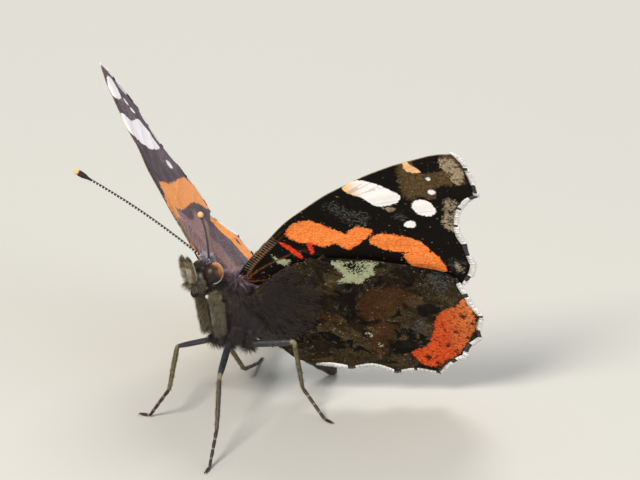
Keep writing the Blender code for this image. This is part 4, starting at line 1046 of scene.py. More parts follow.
def makeSkin():
    plan = bodyPlan
    rings = []
    for y, z, width, height in plan["thorax"]:
        rings.append(ringOf(np.array([0, y, z]), np.array([width, 0, 0]), np.array([0, 0, height]), 1.0, 32))
    parts = [closeRings(rings), ball(plan["headCentre"], plan["headHalf"])]
    rows, steps = [], plan["segments"] * 8
    for k in range(steps + 1):
        t = k / steps
        wave = abs(math.sin(math.pi * t * plan["segments"])) ** 0.6
        radius = abdomenRadius(t) - plan["coatDepth"] + plan["segmentStep"] * wave
        if k == steps:
            radius *= 0.75
        rows.append(ringOf(abdomenMiddle(t), np.array([1.0, 0, 0]), np.array([0, 0, 1.0]), radius, 32))
    first = ringOf(np.array([0, 4.4, 0.0]), np.array([1, 0, 0]), np.array([0, 0, 1]), 1.1, 32)
    parts.append(closeRings([first, *rows]))
    for side in ("left", "right"):
        parts.append(limb(mirrored(plan["palp"], side), plan["palpRadii"], 16))
        parts.append(limb(mirrored(plan["foreleg"], side), plan["forelegRadii"], 16))
        foot = mirrored([plan["antennaFoot"]], side)[0]
        parts.append(limb([foot + (0, 0.4, -0.7), foot + (0, 0.17, -0.3), foot], (0.3, 0.26, 0.18), 16))
        for wingPlan in (forePlan, hindPlan):
            out, rear, front = wingPlan["socket"]
            for share in (0.25, 0.8):
                end = wingToBody([(out + 0.25, -(rear + (front - rear) * share), -wingPlan["drop"])], side)[0]
                start = mirrored([plan["shoulder"]["start"]], side)[0] + (0, end[1] / 2, -wingPlan["drop"])
                path = [start + (end - start) * k / 3 for k in range(4)]
                parts.append(limb(path, plan["shoulder"]["radii"], 16))
    for inner, hip, knee, _, _ in legPlans.values():
        inner, hip, knee = (np.array(p) for p in (inner, hip, knee))
        parts.append(limb([inner, (inner + hip) / 2, hip, hip + 0.25 * unit(knee - hip)], (0.55, 0.5, 0.4, 0.3), 16))
    source = bpy.data.objects.new("skin source", outwardMesh("skin source", *joined(parts)))
    bpy.context.scene.collection.objects.link(source)
    remesh = source.modifiers.new("one skin", "REMESH")
    remesh.mode, remesh.voxel_size = "VOXEL", plan["voxel"]
    smooth = source.modifiers.new("soften", "SMOOTH")
    smooth.factor, smooth.iterations = 0.5, 4
    mesh = evaluatedMesh(source)
    bpy.data.objects.remove(source)
    mesh.name = "body_skin"
    mesh.polygons.foreach_set("use_smooth", np.ones(len(mesh.polygons), bool))
    return mesh


# Colours of skin and coat by place on the body
bodyTints = {
    "back": ("#6f5a74", "#c9b2d2"), "backRose": ("#6b4446", "#c49698"), "flank": ("#0c0907", "#4a3b2e"),
    "belly": ("#1d1812", "#40362a"), "chest": ("#3c3424", "#7d7250"), "abdomenTop": ("#1f1813", "#4a3a30"),
    "abdomenBelly": ("#332c1e", "#655a40"), "crown": ("#5a5270", "#e4deee"), "face": ("#15100c", "#342a20"),
    "cheek": ("#7f857e", "#d0d3ca"), "palp": ("#3c3019", "#8f7a49"), "palpTop": ("#0c0907", "#241a14"),
    "palpHair": ("#b4b9a2", "#eceedd"), "foreleg": ("#554c36", "#a89c7c"), "forelegDark": ("#2c2619", "#544a34"),
    "eyeRing": ("#d8d2cf", "#ffffff"),
}


def tintOf(name, amount):
    low, high = (np.array(linear(code)) for code in bodyTints[name])
    return low + (high - low) * np.asarray(amount)[:, None]


def bodyTint(points, rng):
    # a colour for each body point, picked between the two tones of its region
    x, y, z = points.T
    n = len(points)
    amount = rng.uniform(0, 1, n) ** 1.7
    middle = np.interp(y, *zip(*[(section[0], section[1]) for section in bodyPlan["thorax"]]))
    angle = np.arctan2(z - middle, np.abs(x))  # a quarter turn is the back, minus a quarter the belly
    colour = tintOf("flank", amount)

    def lay(name, weight):
        nonlocal colour
        chosen = rng.uniform(0, 1, n) < weight
        colour = np.where(chosen[:, None], tintOf(name, amount), colour)

    lay("belly", smoothStep(-0.5, -1.1, angle) * (y < 5.4))
    lay("chest", smoothStep(-0.3, -1.0, angle) * smoothStep(1.0, -0.8, y))
    lay("backRose", smoothStep(0.3, 0.8, angle) * (y < 5.8) * 0.8)
    lay("back", smoothStep(0.45, 1.0, angle) * smoothStep(4.6, 1.2, y) * 0.8)
    lay("backRose", smoothStep(0.05, 0.5, angle) * smoothStep(0.5, -0.6, y) * 0.45)
    lay("back", smoothStep(0.05, 0.5, angle) * smoothStep(0.5, -0.6, y) * 0.4)
    lay("crown", smoothStep(-1.0, -1.7, y) * smoothStep(1.6, 2.4, z))
    lay("abdomenTop", smoothStep(4.9, 6.0, y))
    lay("abdomenBelly", smoothStep(5.0, 6.0, y) * smoothStep(0.1, -0.7, angle))
    lay("face", smoothStep(-1.9, -2.4, y) * smoothStep(2.6, 2.2, z))
    lay("cheek", smoothStep(-2.7, -3.1, y) * smoothStep(1.7, 1.1, z) * 0.7)
    lay("palp", smoothStep(0.9, 0.6, z) * (y < -2.2) * 0.7)
    return colour


skinLook = {"roughness": 0.6, "bumpScale": 7000.0}


def skinFinish():
    # thin chitin under the coat: dull, finely pitted
    finish, tree, shader = newFinish("chitin body skin")
    tint = addNode(tree, "ShaderNodeAttribute", attribute_name="tint").outputs["Color"]
    where = addNode(tree, "ShaderNodeTexCoord").outputs["Object"]
    noise = addNode(tree, "ShaderNodeTexNoise", {"Scale": skinLook["bumpScale"], "Detail": 4.0,
                                                 "Vector": where}).outputs[0]
    dark = addNode(tree, "ShaderNodeMapRange", {0: noise, 1: 0.3, 2: 0.7, 3: 0.35, 4: 0.8}).outputs[0]
    colour = addNode(tree, "ShaderNodeVectorMath", {0: tint, "Scale": dark}, operation="SCALE").outputs[0]
    tree.links.new(colour, shader.inputs["Base Color"])
    shader.inputs["Roughness"].default_value = skinLook["roughness"]
    bump = addNode(tree, "ShaderNodeBump", {"Strength": 0.5, "Distance": 0.00005, "Height": noise})
    tree.links.new(bump.outputs[0], shader.inputs["Normal"])
    return finish


skinMesh = makeSkin()
skinMesh.calc_loop_triangles()
skinPoints = np.empty(len(skinMesh.vertices) * 3)
skinMesh.vertices.foreach_get("co", skinPoints)
skinPoints = skinPoints.reshape(-1, 3)
skinNormals = np.empty(len(skinMesh.vertices) * 3)
skinMesh.vertices.foreach_get("normal", skinNormals)
skinNormals = skinNormals.reshape(-1, 3)
skinFaces = np.empty(len(skinMesh.loop_triangles) * 3, np.int32)
skinMesh.loop_triangles.foreach_get("vertices", skinFaces)
skinFaces = skinFaces.reshape(-1, 3)


def nearPath(points, path, side):
    # distance from a limb's middle line, how far along it from 0 to 1, and the direction away from it
    line = mirrored(path, side)
    lengths = np.linalg.norm(np.diff(line, axis=0), axis=1)
    starts = np.concatenate([[0], np.cumsum(lengths)])
    best = np.full(len(points), 1e9)
    share = np.zeros(len(points))
    off = np.zeros((len(points), 3))
    for k in range(len(line) - 1):
        run = line[k + 1] - line[k]
        along = np.clip((points - line[k]) @ run / (run @ run), 0, 1)
        away = points - line[k] - along[:, None] * run
        far = np.linalg.norm(away, axis=1)
        nearer = far < best
        share = np.where(nearer, (starts[k] + along * lengths[k]) / starts[-1], share)
        off = np.where(nearer[:, None], away, off)
        best = np.minimum(best, far)
    return best, share, unit(off)


def regionOf(points):
    # 0 thorax, 1 abdomen, 2 head, 3 palps, 4 forelegs
    region = np.zeros(len(points), int)
    region[points[:, 1] > 5.4] = 1
    region[points[:, 1] < -1.95] = 2
    for side in ("left", "right"):
        far, share, _ = nearPath(points, bodyPlan["palp"], side)
        region[(far < 0.45) & (share > 0.24) & (points[:, 1] < -3.75)] = 3
        far, share, _ = nearPath(points, bodyPlan["foreleg"], side)
        region[(far < 0.42) & (share > 0.13) & (points[:, 2] < 0.4)] = 4
    return region


def fullTint(points, rng):
    colour = bodyTint(points, rng)
    region = regionOf(points)
    amount = rng.uniform(0, 1, len(points))
    onRight = points[:, 0] < 0
    for side in ("left", "right"):
        _, share, off = nearPath(points, bodyPlan["palp"], side)
        mine = (region == 3) & (onRight == (side == "right"))
        rear = off @ np.array((0, 0.68, 0.73))
        palp = np.where((rear > 0.3)[:, None], tintOf("cheek", amount), tintOf("palp", amount))
        palp = np.where((share + 0.06 * rear > 0.8)[:, None], tintOf("palpTop", amount), palp)
        colour = np.where(mine[:, None], palp, colour)
        _, share, off = nearPath(points, bodyPlan["foreleg"], side)
        mine = (region == 4) & (onRight == (side == "right"))
        dark = 0.1 + 0.4 * smoothStep(0.3, -0.6, off @ np.array((0.15, 0.8, 0.55)))
        leg = np.where((rng.uniform(0, 1, len(points)) < dark)[:, None], tintOf("forelegDark", amount),
                       tintOf("foreleg", amount))
        colour = np.where(mine[:, None], leg, colour)
    return colour


setAttribute(skinMesh, "tint", "FLOAT_COLOR", fullTint(skinPoints, np.random.default_rng(11)))
skinMesh.vertices.foreach_set("co", bodyToRow(skinPoints).ravel())
skinMesh.update()
makePiece("body_skin", skinMesh, [skinFinish()], [
    "thorax", "abdomen", "head", "palp_left", "palp_right", "foreleg_left", "foreleg_right"])
print("skin made,", len(skinMesh.polygons), "faces")


def scatter(weights, count, rng):
    # seeded places spread over the skin by area and weight, with their smooth normals
    corners = skinPoints[skinFaces]
    area = np.linalg.norm(np.cross(corners[:, 1] - corners[:, 0], corners[:, 2] - corners[:, 0]), axis=1) / 2
    chance = area * weights
    chosen = rng.choice(len(skinFaces), count, p=chance / chance.sum())
    u, v = rng.uniform(0, 1, (2, count))
    flip = u + v > 1
    u, v = np.where(flip, 1 - u, u), np.where(flip, 1 - v, v)
    shares = np.column_stack([1 - u - v, u, v])[:, :, None]
    at = (corners[chosen] * shares).sum(axis=1)
    normal = unit((skinNormals[skinFaces[chosen]] * shares).sum(axis=1))
    return at, normal


def roundUnwrap(points, start, end, column, columns):
    start, end = np.array(start, float), np.array(end, float)
    axis = unit(end - start)
    side = unit(np.cross(axis, (0.3, 0.1, 1.0)))
    rise = np.cross(side, axis)
    local = points - start
    v = np.clip(local @ axis / np.linalg.norm(end - start), 0, 1)
    u = np.arctan2(local @ rise, local @ side) / (2 * math.pi) + 0.5
    return np.column_stack([(column + 0.01 + 0.97 * u) / columns, 0.01 + 0.97 * v, v * 0])


coatPlans = {
    # region, tufts, length and width in millimetres, how far they stand off the skin, the seed;
    # the hairs are drawn thicker than real ones, so that they show
    "coat_back": {"region": 0, "count": 9500, "length": (0.6, 1.2), "width": 0.045, "lift": 0.45, "seed": 21,
                  "shape": "hair", "above": True},
    "coat_sides": {"region": 0, "count": 18000, "length": (0.5, 1.0), "width": 0.05, "lift": 0.3, "seed": 26,
                   "shape": "short", "above": False},
    "coat_abdomen": {"region": 1, "count": 14000, "length": (0.35, 0.65), "width": 0.06, "lift": 0.2, "seed": 22,
                     "shape": "short"},
    "coat_head": {"region": 2, "count": 8500, "length": (0.2, 0.42), "width": 0.034, "lift": 0.6, "seed": 23,
                  "shape": "short"},
    "coat_palps": {"region": 3, "count": 12000, "length": (0.2, 0.42), "width": 0.032, "lift": 0.35, "seed": 24,
                   "shape": "short"},
    "coat_forelegs": {"region": 4, "count": 16000, "length": (0.4, 0.75), "width": 0.036, "lift": 0.45, "seed": 25,
                      "shape": "short"},
}


def lineFlow(at, path, side):  # the direction of a limb's middle line beside each place
    line = mirrored(path, side)
    _, share, _ = nearPath(at, path, side)
    steps = unit(np.gradient(line, axis=0))
    local = [np.interp(share, np.linspace(0, 1, len(line)), steps[:, k]) for k in range(3)]
    return np.stack(local, axis=1), share


def coatFlow(name, at, normal):
    # the way the coat lies at each place, along the skin
    x, y, z = at.T
    flow = np.tile((0.0, 1.0, 0.0), (len(at), 1))
    if name == "coat_back":
        flow[:, 2] = 0.3
        flow[:, 0] = 0.3 * np.sign(x)
    if name == "coat_sides":
        flow[:, 2] = -0.35
        flow[(y < -1.1) & (z < 0.5)] = (0, -0.5, -0.7)
    if name == "coat_abdomen":
        flow[:, 2] = -0.25
    if name == "coat_head":
        flow = np.column_stack([0.3 * x, np.where(z > 2.4, -0.2, -0.5), np.where(z > 1.9, 0.9, -0.8)])
    for side in ("left", "right"):
        mine = (x < 0) == (side == "right")
        if name == "coat_palps":
            flow[mine] = lineFlow(at, bodyPlan["palp"], side)[0][mine]
        if name == "coat_forelegs":  # hairs run down the limb and splay sideways from its middle
            along = lineFlow(at, bodyPlan["foreleg"], side)[0]
            rear = np.array((0.15, 0.8, 0.55))
            splay = ((normal @ rear)[:, None] * rear) * 1.3
            flow[mine] = (along + splay)[mine]
    flow = flow - normal * (flow * normal).sum(axis=1)[:, None]
    return unit(flow + 1e-6)


def makeCoat(name):
    plan = coatPlans[name]
    rng = np.random.default_rng(plan["seed"])
    centres = skinPoints[skinFaces].mean(axis=1)
    weights = (regionOf(centres) == plan["region"]).astype(float)
    if "above" in plan:  # the thorax has two coats, of long hair above and of short hair on its sides
        heights = np.interp(centres[:, 1], *zip(*[(section[0], section[1]) for section in bodyPlan["thorax"]]))
        weights *= (centres[:, 2] - heights > 0.25) == plan["above"]
    eye = np.array(bodyPlan["eyeCentre"])
    half = np.array(bodyPlan["eyeHalf"])
    for side in ("left", "right"):
        inEye = np.linalg.norm((centres - mirrored([eye], side)[0]) / half, axis=1) < 1.0
        weights[inEye] = 0
    at, normal = scatter(weights, plan["count"], rng)
    flow = coatFlow(name, at, normal)
    x, y, z = at.T
    lift = plan["lift"] * rng.uniform(0.6, 1.4, len(at))
    length = rng.uniform(*plan["length"], len(at))
    if name == "coat_back":
        length = length * (0.55 + 0.45 * smoothStep(-2.0, -0.6, y))
        lift = lift + 0.25 * smoothStep(0.6, 1.8, z)
    if name == "coat_sides":
        below = smoothStep(-1.2, -2.6, z)
        chest = smoothStep(-0.9, -1.3, y) * smoothStep(0.9, 0.2, z)
        length = length * (1 + 0.35 * below) * (0.6 + 0.4 * smoothStep(-1.6, -0.2, y)) * (1 + 0.9 * chest)
        lift = lift + 0.25 * below + 0.6 * chest
    if name == "coat_palps":
        below = smoothStep(0.55, 0.95, normal @ unit((0, -0.75, -0.66)))
        length = length * (1 + 0.6 * below + 0.5 * smoothStep(-4.4, -3.9, y))
        lift = lift + 0.45 * below
    if name == "coat_head":
        crown = smoothStep(2.2, 2.7, z)
        chin = smoothStep(1.4, 0.8, z)
        length = length * (1 + 0.8 * crown + 1.7 * chin)
        lift = lift + 0.25 * crown + 0.6 * chin
    if name == "coat_forelegs":
        flank = np.abs(normal @ unit((0.15, 0.8, 0.55)))
        length = length * (0.45 + 0.75 * flank + 0.4 * smoothStep(-2.2, -2.9, z) + 0.7 * smoothStep(-0.6, -0.1, z))
        lift = lift + 0.35 * flank
    lie = unit(flow + normal * np.tan(np.clip(lift, 0, 1.3))[:, None] + rng.normal(0, 0.1, (len(at), 3)))
    tint = fullTint(at, rng)
    if name == "coat_palps":
        pale = rng.uniform(0, 1, len(at)) < np.maximum(below * 0.6 * (y > -5.2), 0.12 * smoothStep(-5.2, -5.6, y))
        tint[pale] = tintOf("palpHair", rng.uniform(0, 1, len(at)))[pale]
    if region := {"coat_palps": "palp", "coat_forelegs": "foreleg"}.get(name):
        place = np.zeros((len(at), 3))
        for column, side in enumerate(("left", "right")):
            mine = (x < 0) == (side == "right")
            line = mirrored(bodyPlan[region], side)
            place[mine] = roundUnwrap(at, line[0], line[-1], column, 2)[mine]
    else:
        ends = {0: ((0, -2.2, 1.0), (0, 5.6, 0.0)), 1: ((0, 5.2, 0.0), abdomenMiddle(1.03)),
                2: ((0, -1.8, 1.7), (0, -4.2, 1.7))}[plan["region"]]
        place = roundUnwrap(at, *ends, 0, 1)
    # hairs that would reach through the floor are cut short
    room = bodyToGround(at)[:, 2] - 0.04
    drop = -(lie @ bodyTurn.T)[:, 2] * length
    length = np.where(drop > room, length * np.clip(room / np.maximum(drop, 1e-6), 0.05, 1), length)
    start = bodyToRow(at - normal * 0.05)
    roots = {"at": start, "lie": lie @ bodyTurn.T, "rise": normal @ bodyTurn.T, "size": length * mm,
             "tint": tint, "place": place}
    makeTufts(name, roots, plan["shape"], plan["width"], hairFinish, plan["seed"])


for name in coatPlans:
    makeCoat(name)


wingDownLook = {
    # wing, face, tufts, how far out they reach, length and width in millimetres, tones
    "groups": (("hind", "under", 6000, 6.2, ("#0c0906", "#403226")),
               ("hind", "upper", 5000, 9.0, ("#3a2a22", "#8c6a58")),
               # the forewing's upper-side down is tinted pink: painted sheen over its brown hair
               ("fore", "upper", 3500, 6.0, ("#7a5650", "#cfa6a4"))),
    "length": (0.8, 1.7), "width": 0.045,
}


def makeWingDown(side):
    # the fine hair that hides where the wings leave the thorax
    look = wingDownLook
    rng = np.random.default_rng(77)
    parts = {key: [] for key in ("at", "lie", "rise", "size", "tint", "place")}
    for index, (kind, face, count, reach, tones) in enumerate(look["groups"]):
        plan = wingPlans[kind]
        outline, _ = membraneOutline(plan)
        way = 1 if face == "upper" else -1
        angle = rng.uniform(-2.2, 1.4, count * 6)
        far = reach * rng.uniform(0, 1, count * 6) ** 1.15
        spots = np.column_stack([1.3 + far * np.cos(angle), far * np.sin(angle) - (0.8 if kind == "hind" else -0.6)])
        spots = spots[within(spots, outline)][:count]
        far = np.linalg.norm(spots, axis=1)
        outward = unit(spots - (-1.5, 0.8))
        height = droopAt(plan, spots, side) + way * 0.07
        at = np.column_stack([spots[:, 0], -spots[:, 1], height])
        stand = rng.uniform(0.05, 0.3, len(spots)) * way
        lie = np.column_stack([outward[:, 0], -outward[:, 1], stand]) + rng.normal(0, 0.12, (len(spots), 3))
        start = wingToRow(at, side)
        parts["at"].append(start)
        parts["lie"].append(unit(wingToRow(at + unit(lie), side) - start))
        parts["rise"].append(unit(wingToRow(at + (0, 0, way), side) - start))
        parts["size"].append(rng.uniform(*look["length"], len(spots)) * (1 - 0.35 * far / reach) * mm)
        low, high = (np.array(linear(code)) for code in tones)
        parts["tint"].append(low + (high - low) * rng.uniform(0, 1, (len(spots), 1)) ** 1.5)
        u, v = (spots[:, 0] + 1) / 14, (spots[:, 1] + 13) / 26
        parts["place"].append(np.column_stack([(index + 0.03 + 0.9 * u) / 3, 0.02 + 0.94 * v, 0 * u]))
    roots = {key: np.concatenate(values) for key, values in parts.items()}
    makeTufts("wing_down_" + side, roots, "short", look["width"], hairFinish, 78)


for side in ("left", "right"):
    makeWingDown(side)


# Eyes: large smooth domes of tiny facets, dark brown below and amber towards the upper rear

eyeLook = {"dark": "#22130c", "brown": "#6b3a1d", "amber": "#cf8c48", "roughness": 0.4, "facet": 0.045,
           "ringAxis": (0.85, -0.45, 0.1), "ringAngles": (70, 83), "ringCount": 1100}


def eyeFinish(side):
    # clear lenses over brown pigment: a soft highlight, broken up by facets drawn coarser than the real ones
    finish, tree, shader = newFinish(f"faceted eye lens {side}")
    place = addNode(tree, "ShaderNodeAttribute", attribute_name="eyePlace").outputs["Vector"]
    parts = addNode(tree, "ShaderNodeSeparateXYZ", {0: place})
    noise = addNode(tree, "ShaderNodeTexNoise", {"Scale": 1.6, "Detail": 3.0, "Vector": place}).outputs[0]
    wobble = addNode(tree, "ShaderNodeMapRange", {0: noise, 1: 0.3, 2: 0.7, 3: -0.12, 4: 0.12}).outputs[0]
    rear = addNode(tree, "ShaderNodeMath", {0: parts.outputs[1], 1: wobble}, operation="ADD").outputs[0]
    amber = addNode(tree, "ShaderNodeMapRange", {0: rear, 1: 0.05, 2: 0.6}).outputs[0]
    brown = addNode(tree, "ShaderNodeMapRange", {0: rear, 1: -0.25, 2: 0.4}).outputs[0]
    base = addNode(tree, "ShaderNodeMix", {0: brown, 6: linear(eyeLook["dark"]), 7: linear(eyeLook["brown"])},
                   data_type="RGBA").outputs[2]
    colour = addNode(tree, "ShaderNodeMix", {0: amber, 6: base, 7: linear(eyeLook["amber"])},
                     data_type="RGBA").outputs[2]
    tree.links.new(colour, shader.inputs["Base Color"])
    shader.inputs["Roughness"].default_value = eyeLook["roughness"]
    shader.inputs["Specular IOR Level"].default_value = 0.35
    facets = addNode(tree, "ShaderNodeTexVoronoi", {"Scale": 1 / eyeLook["facet"], "Vector": place})
    bump = addNode(tree, "ShaderNodeBump", {"Strength": 0.3, "Distance": 0.00001,
                                            "Height": facets.outputs["Distance"]})
    bump.invert = True
    tree.links.new(bump.outputs[0], shader.inputs["Normal"])
    return finish


def makeEye(side):
    centre = mirrored([bodyPlan["eyeCentre"]], side)[0]
    half = np.array(bodyPlan["eyeHalf"])
    points, faces = ball(centre, half, 40, 56)
    mesh = outwardMesh("eye_dome_" + side, bodyToRow(points), faces)
    local = (points - centre) / half
    upRear = unit(np.array((0.0, 0.62, 0.78)))
    front = unit(np.array((0.0, -0.78, 0.62)))
    out = np.abs(local[:, 0])
    setAttribute(mesh, "eyePlace", "FLOAT_VECTOR", np.column_stack([out, local @ upRear, local @ front]))
    makePiece("eye_dome_" + side, mesh, [eyeFinish(side)], ["eye_" + side])


def makeEyeRings():
    # small white scales round the rear and the top of each eye
    rng = np.random.default_rng(31)
    look = eyeLook
    axis = unit(look["ringAxis"])
    sideways = unit(np.cross(axis, (0, 0, 1.0)))
    parts = {key: [] for key in ("at", "lie", "rise")}
    turn = rng.uniform(0, 2 * math.pi, look["ringCount"])
    tilt = np.radians(rng.uniform(*look["ringAngles"], look["ringCount"]))
    around = np.outer(np.cos(turn), sideways) + np.outer(np.sin(turn), np.cross(sideways, axis))
    out = np.cos(tilt)[:, None] * axis + np.sin(tilt)[:, None] * around
    kept = out @ unit((0, 1.0, 0.15)) > rng.uniform(0.0, 0.5, len(out))
    out, away = out[kept], -np.sin(tilt)[kept, None] * axis + np.cos(tilt)[kept, None] * around[kept]
    for side in ("left", "right"):
        places = np.array(bodyPlan["eyeCentre"]) + out * np.array(bodyPlan["eyeHalf"]) * 0.995
        parts["at"].append(bodyToRow(mirrored(places, side)))
        parts["lie"].append(mirrored(unit(away + 0.25 * out), side) @ bodyTurn.T)
        parts["rise"].append(mirrored(out, side) @ bodyTurn.T)
    roots = {key: np.concatenate(values) for key, values in parts.items()}
    count = len(roots["at"])
    roots["size"] = rng.uniform(0.1, 0.17, count) * mm
    roots["tint"] = tintOf("eyeRing", rng.uniform(0, 1, count))
    column = np.concatenate([(turn[kept] / 6.3 + k * 1.02) / 2.1 for k in (0, 1)])
    roots["place"] = np.column_stack([column, np.tile(tilt[kept] - 1.2, 2) * 3, np.zeros(count)])
    makeTufts("eye_rings", roots, "blade", 0.07, fringeFinish, 32)


for side in ("left", "right"):
    makeEye(side)
makeEyeRings()
print("eyes made")


# Antennae: slender jointed shafts, black with white ticks, and a club with a cream tip

antennaLook = {
    "runs": {"left": (9.15, -10.2, 2.37), "right": (-8.53, -12.02, 3.29)}, "bow": 0.35, "shaft": 0.115, "club": 0.29,
    "clubLength": 1.9, "jointLength": 0.34, "sides": 12,
    "black": "#0b0908", "tick": "#efe9e2", "tip": "#eab678",
}


def antennaFinish():
    # flat black scales over chitin, half dull, with a pale tick at each joint that breaks up the shaft
    finish, tree, shader = newFinish("scaled antenna chitin")
    place = addNode(tree, "ShaderNodeAttribute", attribute_name="shaftPlace").outputs["Vector"]
    parts = addNode(tree, "ShaderNodeSeparateXYZ", {0: place})
    joints = addNode(tree, "ShaderNodeMath", {0: parts.outputs[0], 1: antennaLook["jointLength"]}, operation="DIVIDE")
    cycle = addNode(tree, "ShaderNodeMath", {0: joints.outputs[0]}, operation="FRACT").outputs[0]
    tick = addNode(tree, "ShaderNodeMapRange", {0: cycle, 1: 0.42, 2: 0.3}).outputs[0]
    below = addNode(tree, "ShaderNodeMapRange", {0: parts.outputs[1], 1: -0.3, 2: 0.1, 3: 0.95, 4: 0.25}).outputs[0]
    shaft = addNode(tree, "ShaderNodeMapRange", {0: parts.outputs[2], 1: -2.1, 2: -1.9, 3: 1.0, 4: 0.0}).outputs[0]
    cover = addNode(tree, "ShaderNodeMath", {0: tick, 1: below}, operation="MULTIPLY").outputs[0]
    cover = addNode(tree, "ShaderNodeMath", {0: cover, 1: shaft}, operation="MULTIPLY").outputs[0]
    colour = addNode(tree, "ShaderNodeMix", {0: cover, 6: linear(antennaLook["black"]),
                                             7: linear(antennaLook["tick"])}, data_type="RGBA").outputs[2]
    tip = addNode(tree, "ShaderNodeMapRange", {0: parts.outputs[2], 1: -0.52, 2: -0.4}).outputs[0]
    colour = addNode(tree, "ShaderNodeMix", {0: tip, 6: colour, 7: linear(antennaLook["tip"])},
                     data_type="RGBA").outputs[2]
    tree.links.new(colour, shader.inputs["Base Color"])
    shader.inputs["Roughness"].default_value = 0.5
    where = addNode(tree, "ShaderNodeTexCoord").outputs["Object"]
    noise = addNode(tree, "ShaderNodeTexNoise", {"Scale": 14000.0, "Vector": where}).outputs[0]
    bump = addNode(tree, "ShaderNodeBump", {"Strength": 0.4, "Distance": 0.00002, "Height": noise})
    tree.links.new(bump.outputs[0], shader.inputs["Normal"])
    return finish


antennaScales = antennaFinish()


def makeAntenna(side):
    look = antennaLook
    run = np.array(look["runs"][side])
    length = np.linalg.norm(run)
    foot = mirrored([bodyPlan["antennaFoot"]], side)[0] + (0, 0.0, -0.1)
    count = round(length / 0.085)
    share = np.linspace(0, 1, count)
    path = foot + run * share[:, None] + np.outer(np.sin(math.pi * share) * look["bow"], (0, 0, 1.0))
    left = (1 - share) * length
    joint = 0.93 + 0.1 * np.abs(np.sin(math.pi * share * length / look["jointLength"])) ** 0.5
    swell = smoothStep(look["clubLength"], look["clubLength"] * 0.45, left)
    end = np.sqrt(np.clip(1 - (1 - np.clip(left / 0.4, 0, 1)) ** 2, 0.02, 1))
    radii = (look["shaft"] + (look["club"] - look["shaft"]) * swell) * joint * end
    radii[:3] *= (1.7, 1.5, 1.2)
    points, faces = limb(path, radii, look["sides"])
    mesh = outwardMesh("feeler_" + side, bodyToRow(points), faces)
    angle = np.tile(np.sin(np.arange(look["sides"]) * 2 * math.pi / look["sides"]), count)
    angle += 1.1 if side == "left" else 0.0  # painted shade: the left antenna's pale ticks are narrowed to a thin line, so it shows darker than the right
    place = np.column_stack([np.repeat(share * length, look["sides"]), angle, -np.repeat(left, look["sides"])])
    setAttribute(mesh, "shaftPlace", "FLOAT_VECTOR", place)
    makePiece("feeler_" + side, mesh, [antennaScales], ["antenna_" + side])


for side in ("left", "right"):
    makeAntenna(side)


# The tongue: a flat spiral held between the palps

tongueLook = {"centre": (0.0, -3.15, -0.5), "outer": 0.5, "inner": 0.05, "turns": 2.6, "thickness": 0.085}


def chitinFinish(name, low, high, scale, roughness):
    # horny chitin: dark, faintly mottled and only slightly shiny
    finish, tree, shader = newFinish(name)
    where = addNode(tree, "ShaderNodeTexCoord").outputs["Object"]
    noise = addNode(tree, "ShaderNodeTexNoise", {"Scale": scale, "Detail": 3.0, "Vector": where}).outputs[0]
    colour = addNode(tree, "ShaderNodeMix", {0: noise, 6: linear(low), 7: linear(high)}, data_type="RGBA").outputs[2]
    tree.links.new(colour, shader.inputs["Base Color"])
    shader.inputs["Roughness"].default_value = roughness
    bump = addNode(tree, "ShaderNodeBump", {"Strength": 0.4, "Distance": 0.00002, "Height": noise})
    tree.links.new(bump.outputs[0], shader.inputs["Normal"])
    return finish


def makeTongue():
    look = tongueLook
    t = np.linspace(0, 1, 110)
    angle = 2.2 + t * look["turns"] * 2 * math.pi
    radius = look["outer"] + (look["inner"] - look["outer"]) * t
    path = np.array(look["centre"]) + np.column_stack([0 * t, radius * np.cos(angle), radius * np.sin(angle)])
    points, faces = limb(path, look["thickness"] * (1.25 - 0.5 * t), 12)
    mesh = outwardMesh("tongue_coil", bodyToRow(points), faces)
    makePiece("tongue_coil", mesh, [chitinFinish("horny tongue", "#0d0806", "#2c1a0f", 9000.0, 0.6)],
              ["proboscis"])


makeTongue()
print("antennae and tongue made")


# Legs: scaled femora, tibiae with spines, five-jointed tarsi and paired claws

legLook = {
    "slim": {"mid_right": 0.78, "mid_left": 0.94},
    "femur": ((0.0, 0.3), (0.3, 0.37), (0.75, 0.35), (0.95, 0.27), (1.0, 0.24)),
    "tibia": ((0.0, 0.22), (0.12, 0.24), (0.6, 0.235), (0.92, 0.2), (1.0, 0.19)),
    "tarsus": ((0.0, 0.17), (1.0, 0.135)), "footLength": 1.1, "footHeight": 0.165, "step": 0.13, "sides": 16,
    "femurTones": ("#0c0d0f", "#3b3d45"), "knee": "#80765a", "tibiaTones": ("#352f1e", "#7e7454"),
    "tarsusTones": ("#1d1712", "#3a2d20"), "ring": "#968d76", "spineHex": "#2a1f14",
    "spineLengths": {"tibia": (0.16, 0.3), "tarsus": (0.1, 0.18)},
}


